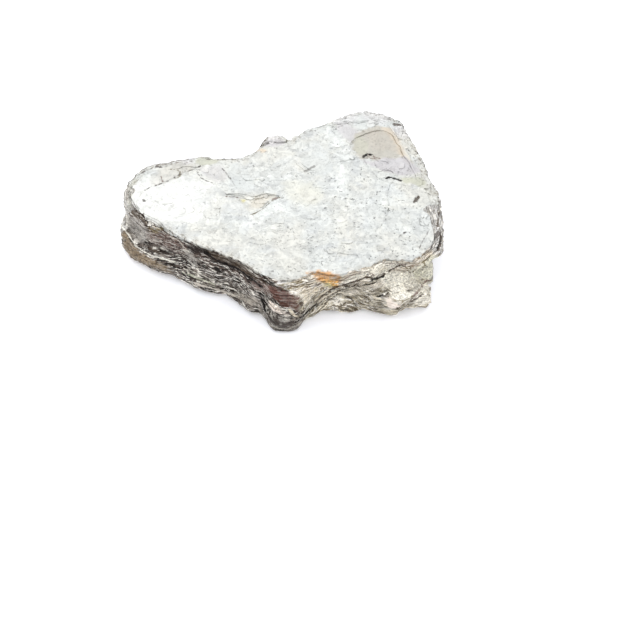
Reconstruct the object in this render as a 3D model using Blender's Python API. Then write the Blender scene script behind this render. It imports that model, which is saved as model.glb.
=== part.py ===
"""Mica crystal: one book of silvery mica, lying on its flat underside.

The book is a single solid. Its sides are lofted through the outlines of its sheets, one broken
edge above another, and its top is a cleavage face with the steps of the sheets that are left on it.
+Z is up and -Y is the front. The origin is on the underside, below the middle of the book.
"""

import math

import bmesh
import bpy
from mathutils import Vector, geometry, noise

MM = 0.001
NAME = "mica_crystal"

# The book's heights.
RIM_HEIGHT = 10.0 * MM  # top of the sheets that form the rim
MAIN_SHEET = 0.9 * MM  # thickness of the broad sheet on top of the rim
RIGHT_END_DROP = 1.5 * MM  # how far the sheets bend down at the right end
SWELLS = ((0.35 * MM, 17.0 * MM), (0.14 * MM, 5.5 * MM))  # height and length of the top's waves

# The book's middle in the outlines below, which were laid out from another point.
MIDDLE = Vector((-0.46 * MM, 2.00 * MM))

# Outline of the rim, seen from above, counter-clockwise from the left tip.
RIM_OUTLINE = [
    Vector((x * MM, y * MM))
    for x, y in (
        (-32.3, 2.4), (-31.5, -0.6), (-29.4, -3.6), (-26.6, -6.0), (-22.8, -7.7), (-20.0, -9.7),
        (-16.3, -12.2), (-12.1, -14.7), (-8.5, -16.8), (-6.2, -19.1), (-3.5, -20.9), (-0.4, -22.3),
        (3.7, -22.1), (7.1, -21.0), (11.6, -20.9), (13.8, -20.3), (17.4, -19.0), (20.2, -16.8),
        (24.1, -16.6), (27.2, -16.2), (29.9, -13.6), (31.6, -12.0), (32.1, -8.5), (32.1, -4.6),
        (32.1, 0.7), (31.3, 4.0), (29.8, 6.9), (28.8, 9.4), (28.1, 11.9), (27.7, 14.5),
        (26.6, 17.5), (25.4, 20.0), (25.2, 22.6), (24.6, 25.3), (22.0, 27.1), (19.4, 28.2),
        (16.4, 28.3), (12.6, 27.0), (9.5, 24.9), (4.7, 22.4), (1.5, 19.5), (-0.4, 20.5), (-2.9, 20.6),
        (-4.5, 18.9), (-5.2, 16.9), (-7.2, 15.2), (-9.0, 14.1), (-14.1, 13.8), (-16.6, 14.6),
        (-20.8, 13.6), (-25.1, 12.8), (-28.3, 11.5), (-30.5, 9.1), (-31.9, 5.7),
    )
]

# What swells out of the sides or is eaten into them: bearing and half width in degrees from +X,
# lowest and highest level in mm, and how far it reaches past the rim's outline in mm.
SIDE_FORMS = {
    "left lip": (189, 15, 0.8, 5.2, 2.2),
    "notch under the rim": (179, 11, 6.2, 8.2, -1.1),
    "front left foot": (213, 30, 0.8, 3.6, 1.9),
    "front left slope": (214, 34, 4.0, 7.0, 0.8),
    "slot under the top slab": (238, 30, 8.1, 8.8, -0.9),
    "corner knob": (271, 14, 0.6, 4.8, 2.8),
    "corner slope": (272, 13, 5.0, 8.4, 1.1),
    "front undercut": (296, 12, -2.0, 5.6, -2.6),
    "lower tier": (318, 13, 0.8, 5.2, 5.1),
    "lump on the tier": (319, 5, 3.0, 5.0, 0.8),
    "tier shoulder": (318, 13, 5.4, 8.2, 1.9),
    "tier's right end": (332, 9, 2.0, 6.4, 1.4),
    "right waist": (352, 22, 6.2, 8.0, -0.8),
    "right foot": (357, 26, 0.8, 4.0, -0.7),
    "back shelf": (55, 30, 1.6, 5.0, 0.9),
    "back waist": (100, 26, 5.4, 7.6, -0.8),
    "back left shelf": (150, 20, 1.0, 6.0, 0.8),
}
FORM_SOFTNESS = 0.7 * MM  # height over which a side form fades in and out
FORM_PLATEAU = 0.25  # share of its half width over which a side form has its whole reach
FOOT_INSET = 1.1 * MM  # how far the lowest sheets stand back all round
FOOT_LEVEL = 0.9 * MM

# The sheets in the sides, from the underside to the rim.
SHEETS = 13
THINNEST_SHEET = 0.5  # share of the mean thickness
SHEET_SCATTER = 0.50 * MM  # how far one sheet's edge stands out from the next
EDGE_WAVE = 5.5 * MM
CHIP_DEPTH = 0.22 * MM
CHIP_LENGTH = 1.9 * MM
RIPPLE_HEIGHT = 0.32 * MM  # waviness of the sheets, seen from the side
RIPPLE_LENGTH = 14.0 * MM
CLEAN_FACE = (226, 42)  # bearing and half width of the face that is broken off clean
CLEAN_SHARE = 0.35  # share of the scatter that is left there

# The steps on the top. Each is the outline of one sheet, in mm, and the thickness that it adds.
MARGIN = 0.35 * MM  # least distance of a step from the rim's edge
STEPS = {
    "outer rim sheet": (
        ((-31.2, 3.2), (-28.9, -2.0), (-24.0, -6.0), (-8.0, -20.0), (20.0, -30.0), (45.0, -10.0),
         (35.0, 20.0), (12.0, 33.0), (-6.0, 20.0), (-15.5, 13.2), (-19.0, 12.3), (-23.9, 11.2),
         (-27.6, 9.4), (-29.7, 7.2)),
        0.35 * MM,
    ),
    "main sheet": (
        ((-29.4, 0.2), (-26.0, -5.2), (-18.0, -13.0), (-2.0, -25.0), (3.7, -20.9), (7.1, -19.6),
         (9.5, -20.0), (11.6, -19.5), (14.0, -18.9), (17.2, -17.5), (20.2, -15.4), (24.1, -15.6),
         (27.2, -14.3), (29.2, -11.6), (30.2, -8.0), (30.5, -3.0), (29.9, 1.8), (28.7, 5.2),
         (27.9, 9.0), (26.6, 12.0), (25.8, 15.2), (24.4, 18.0), (23.4, 21.0), (22.6, 24.0),
         (18.6, 26.3), (14.0, 26.0), (8.6, 23.2), (3.8, 20.8), (0.6, 18.0), (-3.2, 17.6),
         (-6.6, 14.3), (-9.4, 13.0), (-14.4, 12.6), (-16.6, 11.6), (-18.7, 9.8), (-21.0, 8.0),
         (-23.7, 6.0), (-26.1, 4.8), (-28.1, 3.3)),
        MAIN_SHEET,
    ),
    "right end sheet": (
        ((18.0, -12.0), (25.0, -13.3), (28.0, -10.0), (28.9, -4.5), (28.0, 1.5), (26.2, 5.0),
         (22.0, 6.2), (17.0, 7.4), (13.5, 4.0), (14.5, -4.0), (12.5, -10.5)),
        0.30 * MM,
    ),
    "front skin": (
        ((-24.0, -5.6), (-15.0, -10.8), (-3.0, -18.6), (3.0, -18.8), (6.0, -13.0), (2.2, -8.0),
         (6.4, -3.0), (3.0, 0.5), (-2.0, -2.0), (-6.5, -4.0), (-13.0, -3.4), (-19.0, -3.0)),
        0.18 * MM,
    ),
    "back skin": (
        ((-8.6, 12.0), (-3.8, 8.8), (1.2, 7.6), (6.4, 6.6), (10.6, 9.6), (13.0, 14.0), (13.6, 19.4),
         (16.0, 22.4), (13.0, 24.4), (6.0, 20.6), (-1.0, 16.4)),
        0.24 * MM,
    ),
    "curled flake": (
        ((2.6, 12.2), (4.2, 10.1), (5.9, 8.9), (7.9, 9.9), (10.0, 12.5), (9.6, 14.9), (7.9, 15.6),
         (5.6, 13.8)),
        0.35 * MM,
    ),
    "centre recess": (
        ((-11.5, 2.6), (-9.0, 1.2), (-6.5, -2.7), (-4.9, -2.2), (-2.9, 0.0), (-0.6, 2.1),
         (-3.0, 3.0), (-6.0, 2.4), (-9.0, 3.2)),
        -0.35 * MM,
    ),
    "basin": (
        ((13.8, 17.0), (15.2, 15.2), (17.0, 14.2), (18.6, 12.2), (19.8, 9.8), (21.9, 9.3), (24.3, 8.0),
         (26.9, 8.3), (26.6, 11.0), (25.4, 13.4), (24.2, 16.4), (23.5, 18.8), (22.4, 21.2),
         (20.4, 22.2), (17.6, 21.4), (15.0, 19.4)),
        -1.05 * MM,
    ),
    "back rim scales": (
        ((8.6, 23.6), (12.2, 23.9), (15.6, 24.4), (18.4, 25.0), (21.2, 24.2), (22.6, 21.6), (24.4, 20.2),
         (24.6, 24.4), (21.6, 26.4), (18.8, 27.4), (15.6, 27.4), (12.0, 25.9)),
        0.45 * MM,
    ),
    "left skin": (
        ((-25.8, -3.6), (-21.5, -1.0), (-18.0, 1.6), (-14.4, 1.2), (-12.2, 4.6), (-14.8, 8.8),
         (-17.6, 9.0), (-21.4, 6.2), (-25.4, 4.0), (-28.2, 1.6)),
        0.16 * MM,
    ),
    "back knob": (
        ((-4.4, 17.6), (-2.6, 18.6), (0.2, 18.4), (0.6, 19.4), (-0.8, 20.0), (-2.8, 20.0)),
        0.50 * MM,
    ),
    "basin shelf": (
        ((16.4, 14.0), (19.1, 14.5), (22.0, 14.0), (27.5, 12.6), (28.0, 6.0), (20.0, 7.0)),
        0.30 * MM,
    ),
}
STEP_SPACING = 1.6 * MM  # distance between the points of a step's edge
STEP_RAGGED = 0.35 * MM
STEP_WAVE = 2.6 * MM
WALL_SPREAD = 0.05 * MM  # plan width of a step's face, which is nearly upright

EDGE_POINTS = 118  # points round each sheet's outline
FACE_SPACING = 3.2 * MM  # distance between the points of the top face
MICA_COLOUR = (0.80, 0.80, 0.77, 1.0)


def remove_all():
    for thing in list(bpy.data.objects):
        bpy.data.objects.remove(thing, do_unlink=True)


def curve_point(points, at):
    """Point of the closed Catmull-Rom curve through the points; at counts them."""
    first = math.floor(at)
    share = at - first
    a, b, c, d = (points[(first + step) % len(points)] for step in (-1, 0, 1, 2))
    return 0.5 * (
        2 * b
        + (c - a) * share
        + (2 * a - 5 * b + 4 * c - d) * share**2
        + (3 * b - a - 3 * c + d) * share**3
    )


def even_points(points, count):
    """The closed curve through the points, as count points at equal distances."""
    fine = [curve_point(points, step / 12) for step in range(12 * len(points))]
    lengths = [0.0]
    for here, there in zip(fine, fine[1:] + fine[:1]):
        lengths.append(lengths[-1] + (there - here).length)
    even, segment = [], 0
    for step in range(count):
        wanted = lengths[-1] * step / count
        while lengths[segment + 1] < wanted:
            segment += 1
        share = (wanted - lengths[segment]) / (lengths[segment + 1] - lengths[segment])
        even.append(fine[segment].lerp(fine[(segment + 1) % len(fine)], share))
    return even


def perimeter(points):
    return sum((a - b).length for a, b in zip(points, points[1:] + points[:1]))


def bearing_of(point):
    return math.degrees(math.atan2(point.y, point.x)) % 360


def fade(value, low, high):
    """0 at low and 1 at high, smooth in between."""
    share = min(1.0, max(0.0, (value - low) / (high - low)))
    return share * share * (3 - 2 * share)


def near(bearing, middle, half_width):
    """1 round the middle bearing, falling to 0 at half_width on either side."""
    turn = abs((bearing - middle + 180) % 360 - 180)
    return 1 - fade(turn / half_width, FORM_PLATEAU, 1.0)


def reach(bearing, level):
    """How far the side stands out past the rim's outline at this bearing and level."""
    out = -FOOT_INSET * (1 - fade(level, 0.3 * FOOT_LEVEL, FOOT_LEVEL))
    for middle, half_width, low, high, far in SIDE_FORMS.values():
        rising = fade(level, low * MM - FORM_SOFTNESS / 2, low * MM + FORM_SOFTNESS / 2)
        falling = fade(level, high * MM - FORM_SOFTNESS / 2, high * MM + FORM_SOFTNESS / 2)
        out += far * MM * near(bearing, middle, half_width) * rising * (1 - falling)
    return out


def wobble(point, wave, layer=0):
    """Smooth noise from -1 to 1 over the plan, different for each layer."""
    return noise.noise(Vector((point.x / wave, point.y / wave, 3.7 * layer)))


def scatter(point, layer):
    """How far this sheet's edge stands out from the mean at a point of the outline."""
    share = 1 - (1 - CLEAN_SHARE) * near(bearing_of(point), *CLEAN_FACE)
    broad = SHEET_SCATTER * wobble(point, EDGE_WAVE, layer)
    return share * (broad + CHIP_DEPTH * wobble(point, CHIP_LENGTH, layer))


def sheet_levels():
    """Shares of the height at which one sheet ends and the next begins."""
    thickness = [1 + (1 - THINNEST_SHEET) * noise.noise(Vector((0.5, 2.6 * n, 0))) / 0.5
                 for n in range(SHEETS)]
    levels = [0.0]
    for part in thickness:
        levels.append(levels[-1] + max(THINNEST_SHEET, part))
    return [level / levels[-1] for level in levels]


def step_edge(outline, rim):
    """A step's ragged edge, kept clear of the rim's edge."""
    corners = [Vector((x * MM, y * MM)) for x, y in outline]
    count = max(8, round(perimeter(corners) / STEP_SPACING))
    edge = []
    for point in even_points(corners, count):
        point = point + point.normalized() * STEP_RAGGED * wobble(point, STEP_WAVE)
        edge.append(kept_inside(point, rim, MARGIN))
    return edge


def kept_inside(point, rim, margin):
    """The point, pulled towards the middle until it is a margin inside the rim."""
    limit = rim_radius(point, rim) - margin
    return point * min(1.0, limit / point.length)


def rim_radius(point, rim):
    """Distance from the middle to the rim's outline in the direction of the point."""
    bearing = bearing_of(point)
    for here, there in zip(rim, rim[1:] + rim[:1]):
        start = bearing_of(here)
        span = (bearing_of(there) - start) % 360
        into = (bearing - start) % 360
        if into <= span:
            return here.lerp(there, into / span).length
    raise ValueError("the rim's outline doesn't go round the middle")


def inside(point, edge):
    """Whether the point lies inside the closed edge."""
    within = False
    for a, b in zip(edge, edge[1:] + edge[:1]):
        if (a.y > point.y) != (b.y > point.y):
            if point.x < a.x + (point.y - a.y) * (b.x - a.x) / (b.y - a.y):
                within = not within
    return within


def top_height(point, edges):
    """Height of the top at a point of the plan."""
    height = RIM_HEIGHT + sum(rise * wobble(point, length) for rise, length in SWELLS)
    height -= RIGHT_END_DROP * fade(point.x, 22 * MM, 33 * MM)
    return height + sum(thick for edge, thick in edges if inside(point, edge))


def top_mesh(rim, edges):
    """Triangles of the top face. The rim's points come first, in their own order."""
    points = list(rim)
    walls = [(n, (n + 1) % len(rim)) for n in range(len(rim))]
    for edge, _ in edges:
        for side in (-0.5, 0.5):
            start = len(points)
            for n, point in enumerate(edge):
                along = edge[(n + 1) % len(edge)] - edge[n - 1]
                across = Vector((along.y, -along.x)).normalized()
                points.append(kept_inside(point + across * side * WALL_SPREAD, rim, MARGIN / 2))
                walls.append((start + n, start + (n + 1) % len(edge)))
    half = int(35 * MM / FACE_SPACING)
    for row in range(-half, half + 1):
        for column in range(-half, half + 1):
            point = Vector((column + 0.5 * (row % 2), 0.87 * row)) * FACE_SPACING
            if point.length < rim_radius(point, rim) - 2 * MARGIN:
                points.append(point)
    made = geometry.delaunay_2d_cdt(points, walls, [], 0, 1e-9, True)
    flat, came_from = made[0], made[3]
    triangles = [t for t in made[2] if inside(sum((flat[n] for n in t), Vector((0, 0))) / 3, rim)]
    order = {}
    for number, sources in enumerate(came_from):
        for source in sources:
            if source < len(rim):
                order[number] = source
    return flat, triangles, order


def book_mesh():
    """The book's surface: underside, the sheets' edges one above another, and the top."""
    rim = even_points(RIM_OUTLINE, EDGE_POINTS)
    edges = [(step_edge(outline, rim), thick) for outline, thick in STEPS.values()]
    heights = [top_height(point, edges) for point in rim]
    levels = sheet_levels()
    shell = bmesh.new()

    def ring(layer, level, radius_level):
        made = []
        for point, height in zip(rim, heights):
            ripple = RIPPLE_HEIGHT * wobble(point, RIPPLE_LENGTH, 9) * math.sin(math.pi * level)
            out = Vector((0, 0))
            if layer < SHEETS - 1:
                far = reach(bearing_of(point), radius_level * height) + scatter(point, layer)
                out = point.normalized() * far
            plan = point + out - MIDDLE
            made.append(shell.verts.new((plan.x, plan.y, level * height + ripple)))
        return made

    rings = []
    for layer, (low, high) in enumerate(zip(levels, levels[1:])):
        rings.append(ring(layer, low, (low + high) / 2))
        rings.append(ring(layer, high, (low + high) / 2))
    for below, above in zip(rings, rings[1:]):
        for n in range(EDGE_POINTS):
            after = (n + 1) % EDGE_POINTS
            shell.faces.new((below[n], below[after], above[after], above[n]))
    shell.faces.new(list(reversed(rings[0])))

    flat, triangles, order = top_mesh(rim, edges)
    corners = {}
    for number, point in enumerate(flat):
        if number in order:
            corners[number] = rings[-1][order[number]]
        else:
            plan = point - MIDDLE
            corners[number] = shell.verts.new((plan.x, plan.y, top_height(point, edges)))
    for triangle in triangles:
        shell.faces.new([corners[number] for number in triangle])
    return shell


def mica_material():
    mica = bpy.data.materials.new("mica")
    mica.use_nodes = True
    surface = mica.node_tree.nodes["Principled BSDF"]
    surface.inputs["Base Color"].default_value = MICA_COLOUR
    surface.inputs["Roughness"].default_value = 0.35
    surface.inputs["Metallic"].default_value = 0.0
    return mica


def main():
    remove_all()
    shell = book_mesh()
    bmesh.ops.recalc_face_normals(shell, faces=shell.faces)
    mesh = bpy.data.meshes.new(NAME)
    shell.to_mesh(mesh)
    shell.free()
    mesh.materials.append(mica_material())
    book = bpy.data.objects.new(NAME, mesh)
    group = bpy.data.collections.new("mica crystal")
    bpy.context.scene.collection.children.link(group)
    group.objects.link(book)


main()
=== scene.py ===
"""Mica crystal: one book of silvery mica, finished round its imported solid.

The book's surface is laid out again, leaf by leaf, from the outlines that its solid was built from.
Geometry Nodes then break the leaves' edges, and strew the torn leaves, flakes and crumbs over them.
Outlines and levels are in millimetres, in the plan that the solid was drawn in. The marks that make
this book unlike any other are laid as places in the camera's view, and cast onto its surface.
"""

import math

import bpy
import numpy as np
from bpy.props import FloatProperty, FloatVectorProperty, IntProperty, PointerProperty
from mathutils import Euler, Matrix, Vector, geometry, noise
from mathutils.bvhtree import BVHTree


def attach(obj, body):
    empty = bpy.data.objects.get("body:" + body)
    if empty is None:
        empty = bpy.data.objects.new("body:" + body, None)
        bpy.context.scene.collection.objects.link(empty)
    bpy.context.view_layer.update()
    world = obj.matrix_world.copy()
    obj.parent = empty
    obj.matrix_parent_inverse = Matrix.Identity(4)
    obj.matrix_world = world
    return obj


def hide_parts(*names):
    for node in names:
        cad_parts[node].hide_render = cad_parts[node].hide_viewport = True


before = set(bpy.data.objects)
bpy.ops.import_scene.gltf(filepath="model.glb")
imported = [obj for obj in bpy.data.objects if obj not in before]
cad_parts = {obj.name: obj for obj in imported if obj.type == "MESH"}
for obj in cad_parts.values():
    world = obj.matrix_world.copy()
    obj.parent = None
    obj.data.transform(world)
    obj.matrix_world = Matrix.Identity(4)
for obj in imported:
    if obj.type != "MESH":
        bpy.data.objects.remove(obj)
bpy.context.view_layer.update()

bl_info = {
    "name": "Mica Crystal",
    "version": (1, 0, 0),
    "blender": (4, 5, 0),
    "location": "3D View > Sidebar > Mica",
    "description": "Makes a book of silvery mica with broken, layered edges",
    "category": "Add Mesh",
}

MM = 0.001
NODE = "mica_crystal"

# The plan's own zero, seen from the origin below the middle of the book.
MIDDLE = np.array((-0.46, 2.00)) * MM

# Outline of the rim, seen from above, counter-clockwise from the left tip.
RIM_OUTLINE = (
    (-32.3, 2.4), (-31.5, -0.6), (-29.4, -3.6), (-26.6, -6.0), (-22.8, -7.7), (-20.0, -9.7),
    (-16.3, -12.2), (-12.1, -14.7), (-8.5, -16.8), (-6.2, -19.1), (-3.5, -20.9), (-0.4, -22.3),
    (3.7, -22.1), (7.1, -21.0), (11.6, -20.9), (13.8, -20.3), (17.4, -19.0), (20.2, -16.8),
    (24.1, -16.6), (27.2, -16.2), (29.9, -13.6), (31.6, -12.0), (32.1, -8.5), (32.1, -4.6),
    (32.1, 0.7), (31.6, 4.2), (30.7, 7.3), (29.9, 9.9), (29.3, 12.6), (28.7, 15.4),
    (27.5, 18.3), (26.3, 20.6), (25.7, 22.8), (24.6, 25.3), (22.0, 27.1), (19.4, 28.2),
    (16.4, 28.3), (12.6, 27.0), (9.5, 24.9), (4.7, 22.4), (1.5, 19.5), (-0.4, 20.5), (-2.9, 20.6),
    (-4.5, 18.9), (-5.2, 16.9), (-7.2, 15.2), (-9.0, 14.1), (-14.1, 13.8), (-16.6, 14.6),
    (-20.8, 13.6), (-25.1, 12.8), (-28.3, 11.5), (-30.5, 9.1), (-31.9, 5.7),
)
CURVE_STEPS = 12
RIM_RAGGED = ((0.30, 2.4), (0.22, 0.8), (0.12, 0.35))  # depth and length in mm of the rim's broken edge

# What swells out of the sides or is eaten into them: bearing and half width in degrees from +X,
# lowest and highest level, how far it reaches past the rim's outline, and the height over which it
# tapers off upwards, all in mm.
SIDE_FORMS = {
    "left lip": (191, 17, 0.8, 5.2, 2.1, 0.7),
    "notch under the rim": (179, 11, 6.2, 8.2, -1.1, 0.7),
    "front left foot": (211, 32, 0.8, 3.6, 2.3, 2.4),
    "front left slope": (214, 34, 4.0, 7.0, 0.8, 2.0),
    "foot beside the knob": (247, 15, 0.8, 2.6, 1.4, 1.8),
    "corner knob": (271, 14, 0.6, 4.8, 2.8, 1.2),
    "corner slope": (273, 14, 5.0, 7.6, 1.5, 3.4),
    "front undercut": (296, 12, -2.0, 5.6, -0.6, 2.5),
    "lower tier": (320, 12, 0.8, 5.2, 5.3, 1.4),
    "lump on the tier": (319, 5, 3.0, 5.0, 0.8, 1.2),
    "tier shoulder": (318, 13, 5.4, 7.4, 1.9, 2.0),
    "tier's right end": (328, 6, 0.8, 4.0, 1.2, 1.0),
    "recess over the tier's end": (337, 14, 4.4, 8.6, -2.8, 1.0),
    "right waist": (352, 22, 6.2, 8.0, -0.8, 0.7),
    "right foot": (351, 25, -2.0, 5.8, -2.1, 1.6),
    "back shelf": (55, 30, 1.6, 5.0, 0.9, 0.7),
    "back waist": (100, 26, 5.4, 7.6, -0.8, 0.7),
    "back left shelf": (150, 20, 1.0, 6.0, 0.8, 0.7),
}
FORM_SOFTNESS = 0.7
FORM_PLATEAU = 0.25
FOOT_INSET = 1.1
FOOT_LEVEL = 0.9

# Where the sheets in the sides are folded up or down: bearing and half width in degrees, rise in mm.
FOLDS = ((272, 15, -2.0), (297, 12, 1.2), (318, 13, 0.8), (336, 10, -0.9), (206, 16, 0.6), (30, 26, 0.7))

# The sheets in the sides, from the underside to the rim, and the leaves that each splits into.
SHEETS = 13
THINNEST_SHEET = 0.5
BOOK_HEIGHT = 11.5
EDGE_WAVE = 5.5
CHIP_DEPTH = 0.22
CHIP_LENGTH = 1.9
RIPPLE_HEIGHT = 0.32
RIPPLE_LENGTH = 14.0
CLEAN_FACE = (238, 62)
CLEAN_SHARE = 0.4
SHALE_SHARE = 0.35  # how much more broken the shale-like face is
LEAVES = (0.42, 0.82, 1.0)  # share of a sheet's thickness at which each of its leaves ends
GAP = 2  # which of them is the gap over the sheet
# Sheets over which a deep crack runs: from and to which bearing, and how deep it is in mm.
DEEP_GAPS = {10: (222, 262, 1.5), 9: (286, 336, 1.6), 5: (300, 332, 1.1), 3: (236, 262, 0.7)}
LAYER_STEP = 3.7  # how far apart in the noise two layers lie

# The waves of the cleavage face: height and length in mm.
SWELLS = ((0.35, 17.0), (0.14, 5.5), (0.05, 1.6))
DROP_FROM, DROP_TO = 22.0, 33.0  # where the sheets bend down at the right end

# The steps on the top: outline in mm, thickness in mm, number of plies, setback of each ply in mm.
STEPS = {
    "outer rim sheet": (
        ((-31.2, 3.2), (-28.9, -2.0), (-24.0, -6.0), (-8.0, -20.0), (20.0, -30.0), (45.0, -10.0),
         (35.0, 20.0), (12.0, 33.0), (-6.0, 20.0), (-15.5, 13.2), (-19.0, 12.3), (-23.9, 11.2),
         (-27.6, 9.4), (-29.7, 7.2)),
        0.35, 2, 0.35,
    ),
    "main sheet": (
        ((-29.4, 0.2), (-28.1, -2.4), (-26.4, -4.5), (-24.1, -6.2), (-20.5, -9.1), (-15.6, -12.0),
         (-11.8, -14.0), (-8.0, -16.1), (-4.5, -19.0), (-1.3, -20.9), (1.7, -21.2), (4.8, -20.4),
         (5.4, -19.7), (6.7, -19.1), (9.6, -19.9), (12.4, -19.6), (14.7, -18.8), (17.6, -17.5),
         (20.0, -15.6), (25.3, -15.6), (27.3, -13.7), (29.4, -10.9), (30.2, -7.3), (29.7, -2.6),
         (29.9, 1.8), (28.7, 5.2),
         (27.9, 9.0), (26.6, 12.0), (25.8, 15.2), (24.4, 18.0), (23.4, 21.0), (22.6, 24.0),
         (18.6, 26.3), (14.0, 26.0), (8.6, 23.2), (3.8, 20.8), (0.6, 18.0), (-3.2, 17.6),
         (-6.6, 14.3), (-9.4, 13.0), (-14.4, 12.6), (-16.6, 11.6), (-18.7, 9.8), (-21.0, 8.0),
         (-23.7, 6.0), (-26.1, 4.8), (-28.1, 3.3)),
        0.36, 1, 0.0,
    ),
    "front right leaves": (
        ((4.0, -21.4), (7.3, -20.3), (9.6, -20.6), (13.6, -19.6), (17.3, -18.2), (20.2, -16.1),
         (24.1, -16.0), (27.2, -15.2), (29.6, -12.6), (31.0, -10.0), (31.4, -4.0), (31.2, 0.5),
         (30.2, 4.5), (29.0, 8.0), (22.0, 6.0), (20.0, -6.0), (8.0, -14.0)),
        0.24, 1, 0.0,
    ),
    "curled flake": (
        ((2.6, 12.2), (4.2, 10.1), (5.9, 8.9), (7.9, 9.9), (10.0, 12.5), (9.6, 14.9), (7.9, 15.6),
         (5.6, 13.8)),
        0.22, 2, 0.5,
    ),
    "centre recess": (
        ((-11.5, 2.6), (-9.0, 1.2), (-6.5, -2.7), (-4.9, -2.2), (-2.9, 0.0), (-0.6, 2.1),
         (-3.0, 3.0), (-6.0, 2.4), (-9.0, 3.2)),
        -0.35, 2, 0.4,
    ),
    "basin": (
        ((13.8, 17.0), (15.2, 15.2), (17.0, 14.2), (18.6, 12.2), (19.8, 9.8), (21.9, 9.3), (24.3, 8.0),
         (26.9, 8.3), (26.6, 11.0), (25.4, 13.4), (24.2, 16.4), (23.5, 18.8), (22.4, 21.2),
         (20.4, 22.2), (17.6, 21.4), (15.0, 19.4)),
        -0.16, 1, 0.0,
    ),
    "back rim scales": (
        ((8.6, 23.6), (12.2, 23.9), (15.6, 24.4), (18.4, 25.0), (21.2, 24.2), (22.6, 21.6), (24.4, 20.2),
         (24.6, 24.4), (21.6, 26.4), (18.8, 27.4), (15.6, 27.4), (12.0, 25.9)),
        0.30, 2, 0.7,
    ),
    "back knob": (
        ((-4.4, 17.6), (-2.6, 18.6), (0.2, 18.4), (0.6, 19.4), (-0.8, 20.0), (-2.8, 20.0)),
        0.50, 2, 0.3,
    ),
    "basin shelf": (
        ((16.4, 14.0), (19.1, 14.5), (22.0, 14.0), (27.5, 12.6), (28.0, 6.0), (20.0, 7.0)),
        0.14, 1, 0.0,
    ),
}
WHOLE_STEPS = ("outer rim sheet", "main sheet", "front right leaves", "basin")  # the rest fade out in places
FADED_SHARE = 0.25  # how much of a step is left where it fades out
STEP_RAGGED = ((0.32, 2.6), (0.16, 0.8), (0.08, 0.35))  # depth and length in mm of a step's ragged edge
MARGIN = 0.25  # mm that a step keeps from the rim
WALL_SPREAD = 0.04  # mm in the plan between the upper and lower edge of a step
CREASE_FULL = 0.20  # thickness in mm from which a step's foot is a full crease

# The front edge of the silver face, from the left tip to the right end. Past it the top looks as the
# sides do.
SILVER_EDGE = (
    (-31.6, 5.8), (-30.7, 2.2), (-30.1, 0.7), (-29.1, -1.0), (-28.1, -2.4), (-27.3, -3.7), (-26.4, -4.5),
    (-25.1, -5.7), (-24.1, -6.2), (-22.6, -7.6), (-20.5, -9.1), (-18.1, -10.6), (-15.6, -12.0),
    (-13.6, -13.0), (-11.8, -14.0), (-10.1, -14.9), (-8.0, -16.1), (-6.0, -17.7), (-4.5, -19.0),
    (-2.9, -20.0), (-1.3, -20.9), (0.0, -21.1), (1.7, -21.2), (3.7, -20.5), (4.8, -20.4), (5.4, -19.7),
    (6.7, -19.1), (8.5, -19.5), (9.6, -19.9), (10.8, -20.2), (12.4, -19.6), (13.7, -18.9), (14.7, -18.8),
    (15.5, -18.3), (16.5, -17.9), (17.6, -17.5), (19.0, -16.2), (20.0, -15.6), (21.4, -15.6),
    (22.9, -15.8), (23.9, -15.6), (25.3, -15.6), (26.3, -14.7), (27.3, -13.7), (28.6, -12.0),
    (29.4, -10.9), (30.2, -8.3), (30.0, -6.2), (29.6, -2.6), (29.9, 0.7),
)
SILVER_BEHIND = ((50.0, 10.0), (50.0, 50.0), (-50.0, 50.0), (-50.0, 12.0))  # round the rest, past the rim
SILVER_POINTS = 640
SILVER_RAGGED = ((0.22, 1.1), (0.14, 0.4))  # depth and length in mm
SILVER_SOFT = 0.25  # half the width in mm over which the silver gives way
RIM_LINE = 0.8  # how dark the line along the rim is
UPPER_LINE = 0.7  # how dark the line along a step's upper edge is, next to the crease at its foot

# Torn skins of single leaves, strewn over the cleavage face.
SKINS = 45
SKIN_SIZES = (0.5, 3.0)  # radius in mm
SKIN_THICKNESS = (0.04, 0.13)  # mm
SKIN_CORNERS = 11

# Faces of the sides with a look of their own: where each starts and ends, and how softly, in degrees.
DARK_FACE = (183, 281, 6)
SLANT = 13  # how many degrees sooner the dark face ends at the rim than at its foot
SLANT_LEVELS = (4.5, 9.5)
SHALE_FACE = (274, 338, 8)
# How the beds in the sides are folded besides, in their colours alone: bearing, half width, rise in mm.
BED_FOLDS = (
    (274, 15, -1.8), (300, 13, 2.4), (312, 7, -0.9), (332, 14, 1.2), (232, 24, 0.8), (196, 14, -0.6),
)

# Where the book has crumbled: centre and radius in mm.
CRUMBLED = (
    ((12.5, 26.5, 10.5), 4.0), ((19.5, 27.5, 10.5), 4.5), ((25.0, 22.5, 10.0), 3.0),
    ((-2.0, 19.8, 10.0), 2.0), ((-20.0, 13.4, 10.0), 2.0),
)


# The shapes that leaves, flakes and crumbs are instanced from.
SHAPES = 5
PLATE_CORNERS = 11
LEAVES_ABOVE = 2.2  # level in mm below which nothing stands out of the sides

# What is marked on each point of the book for the finish to read.
MARKS = ("bed", "level", "side", "rim", "dark", "shale", "crease", "crumbled", "stained")

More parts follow.
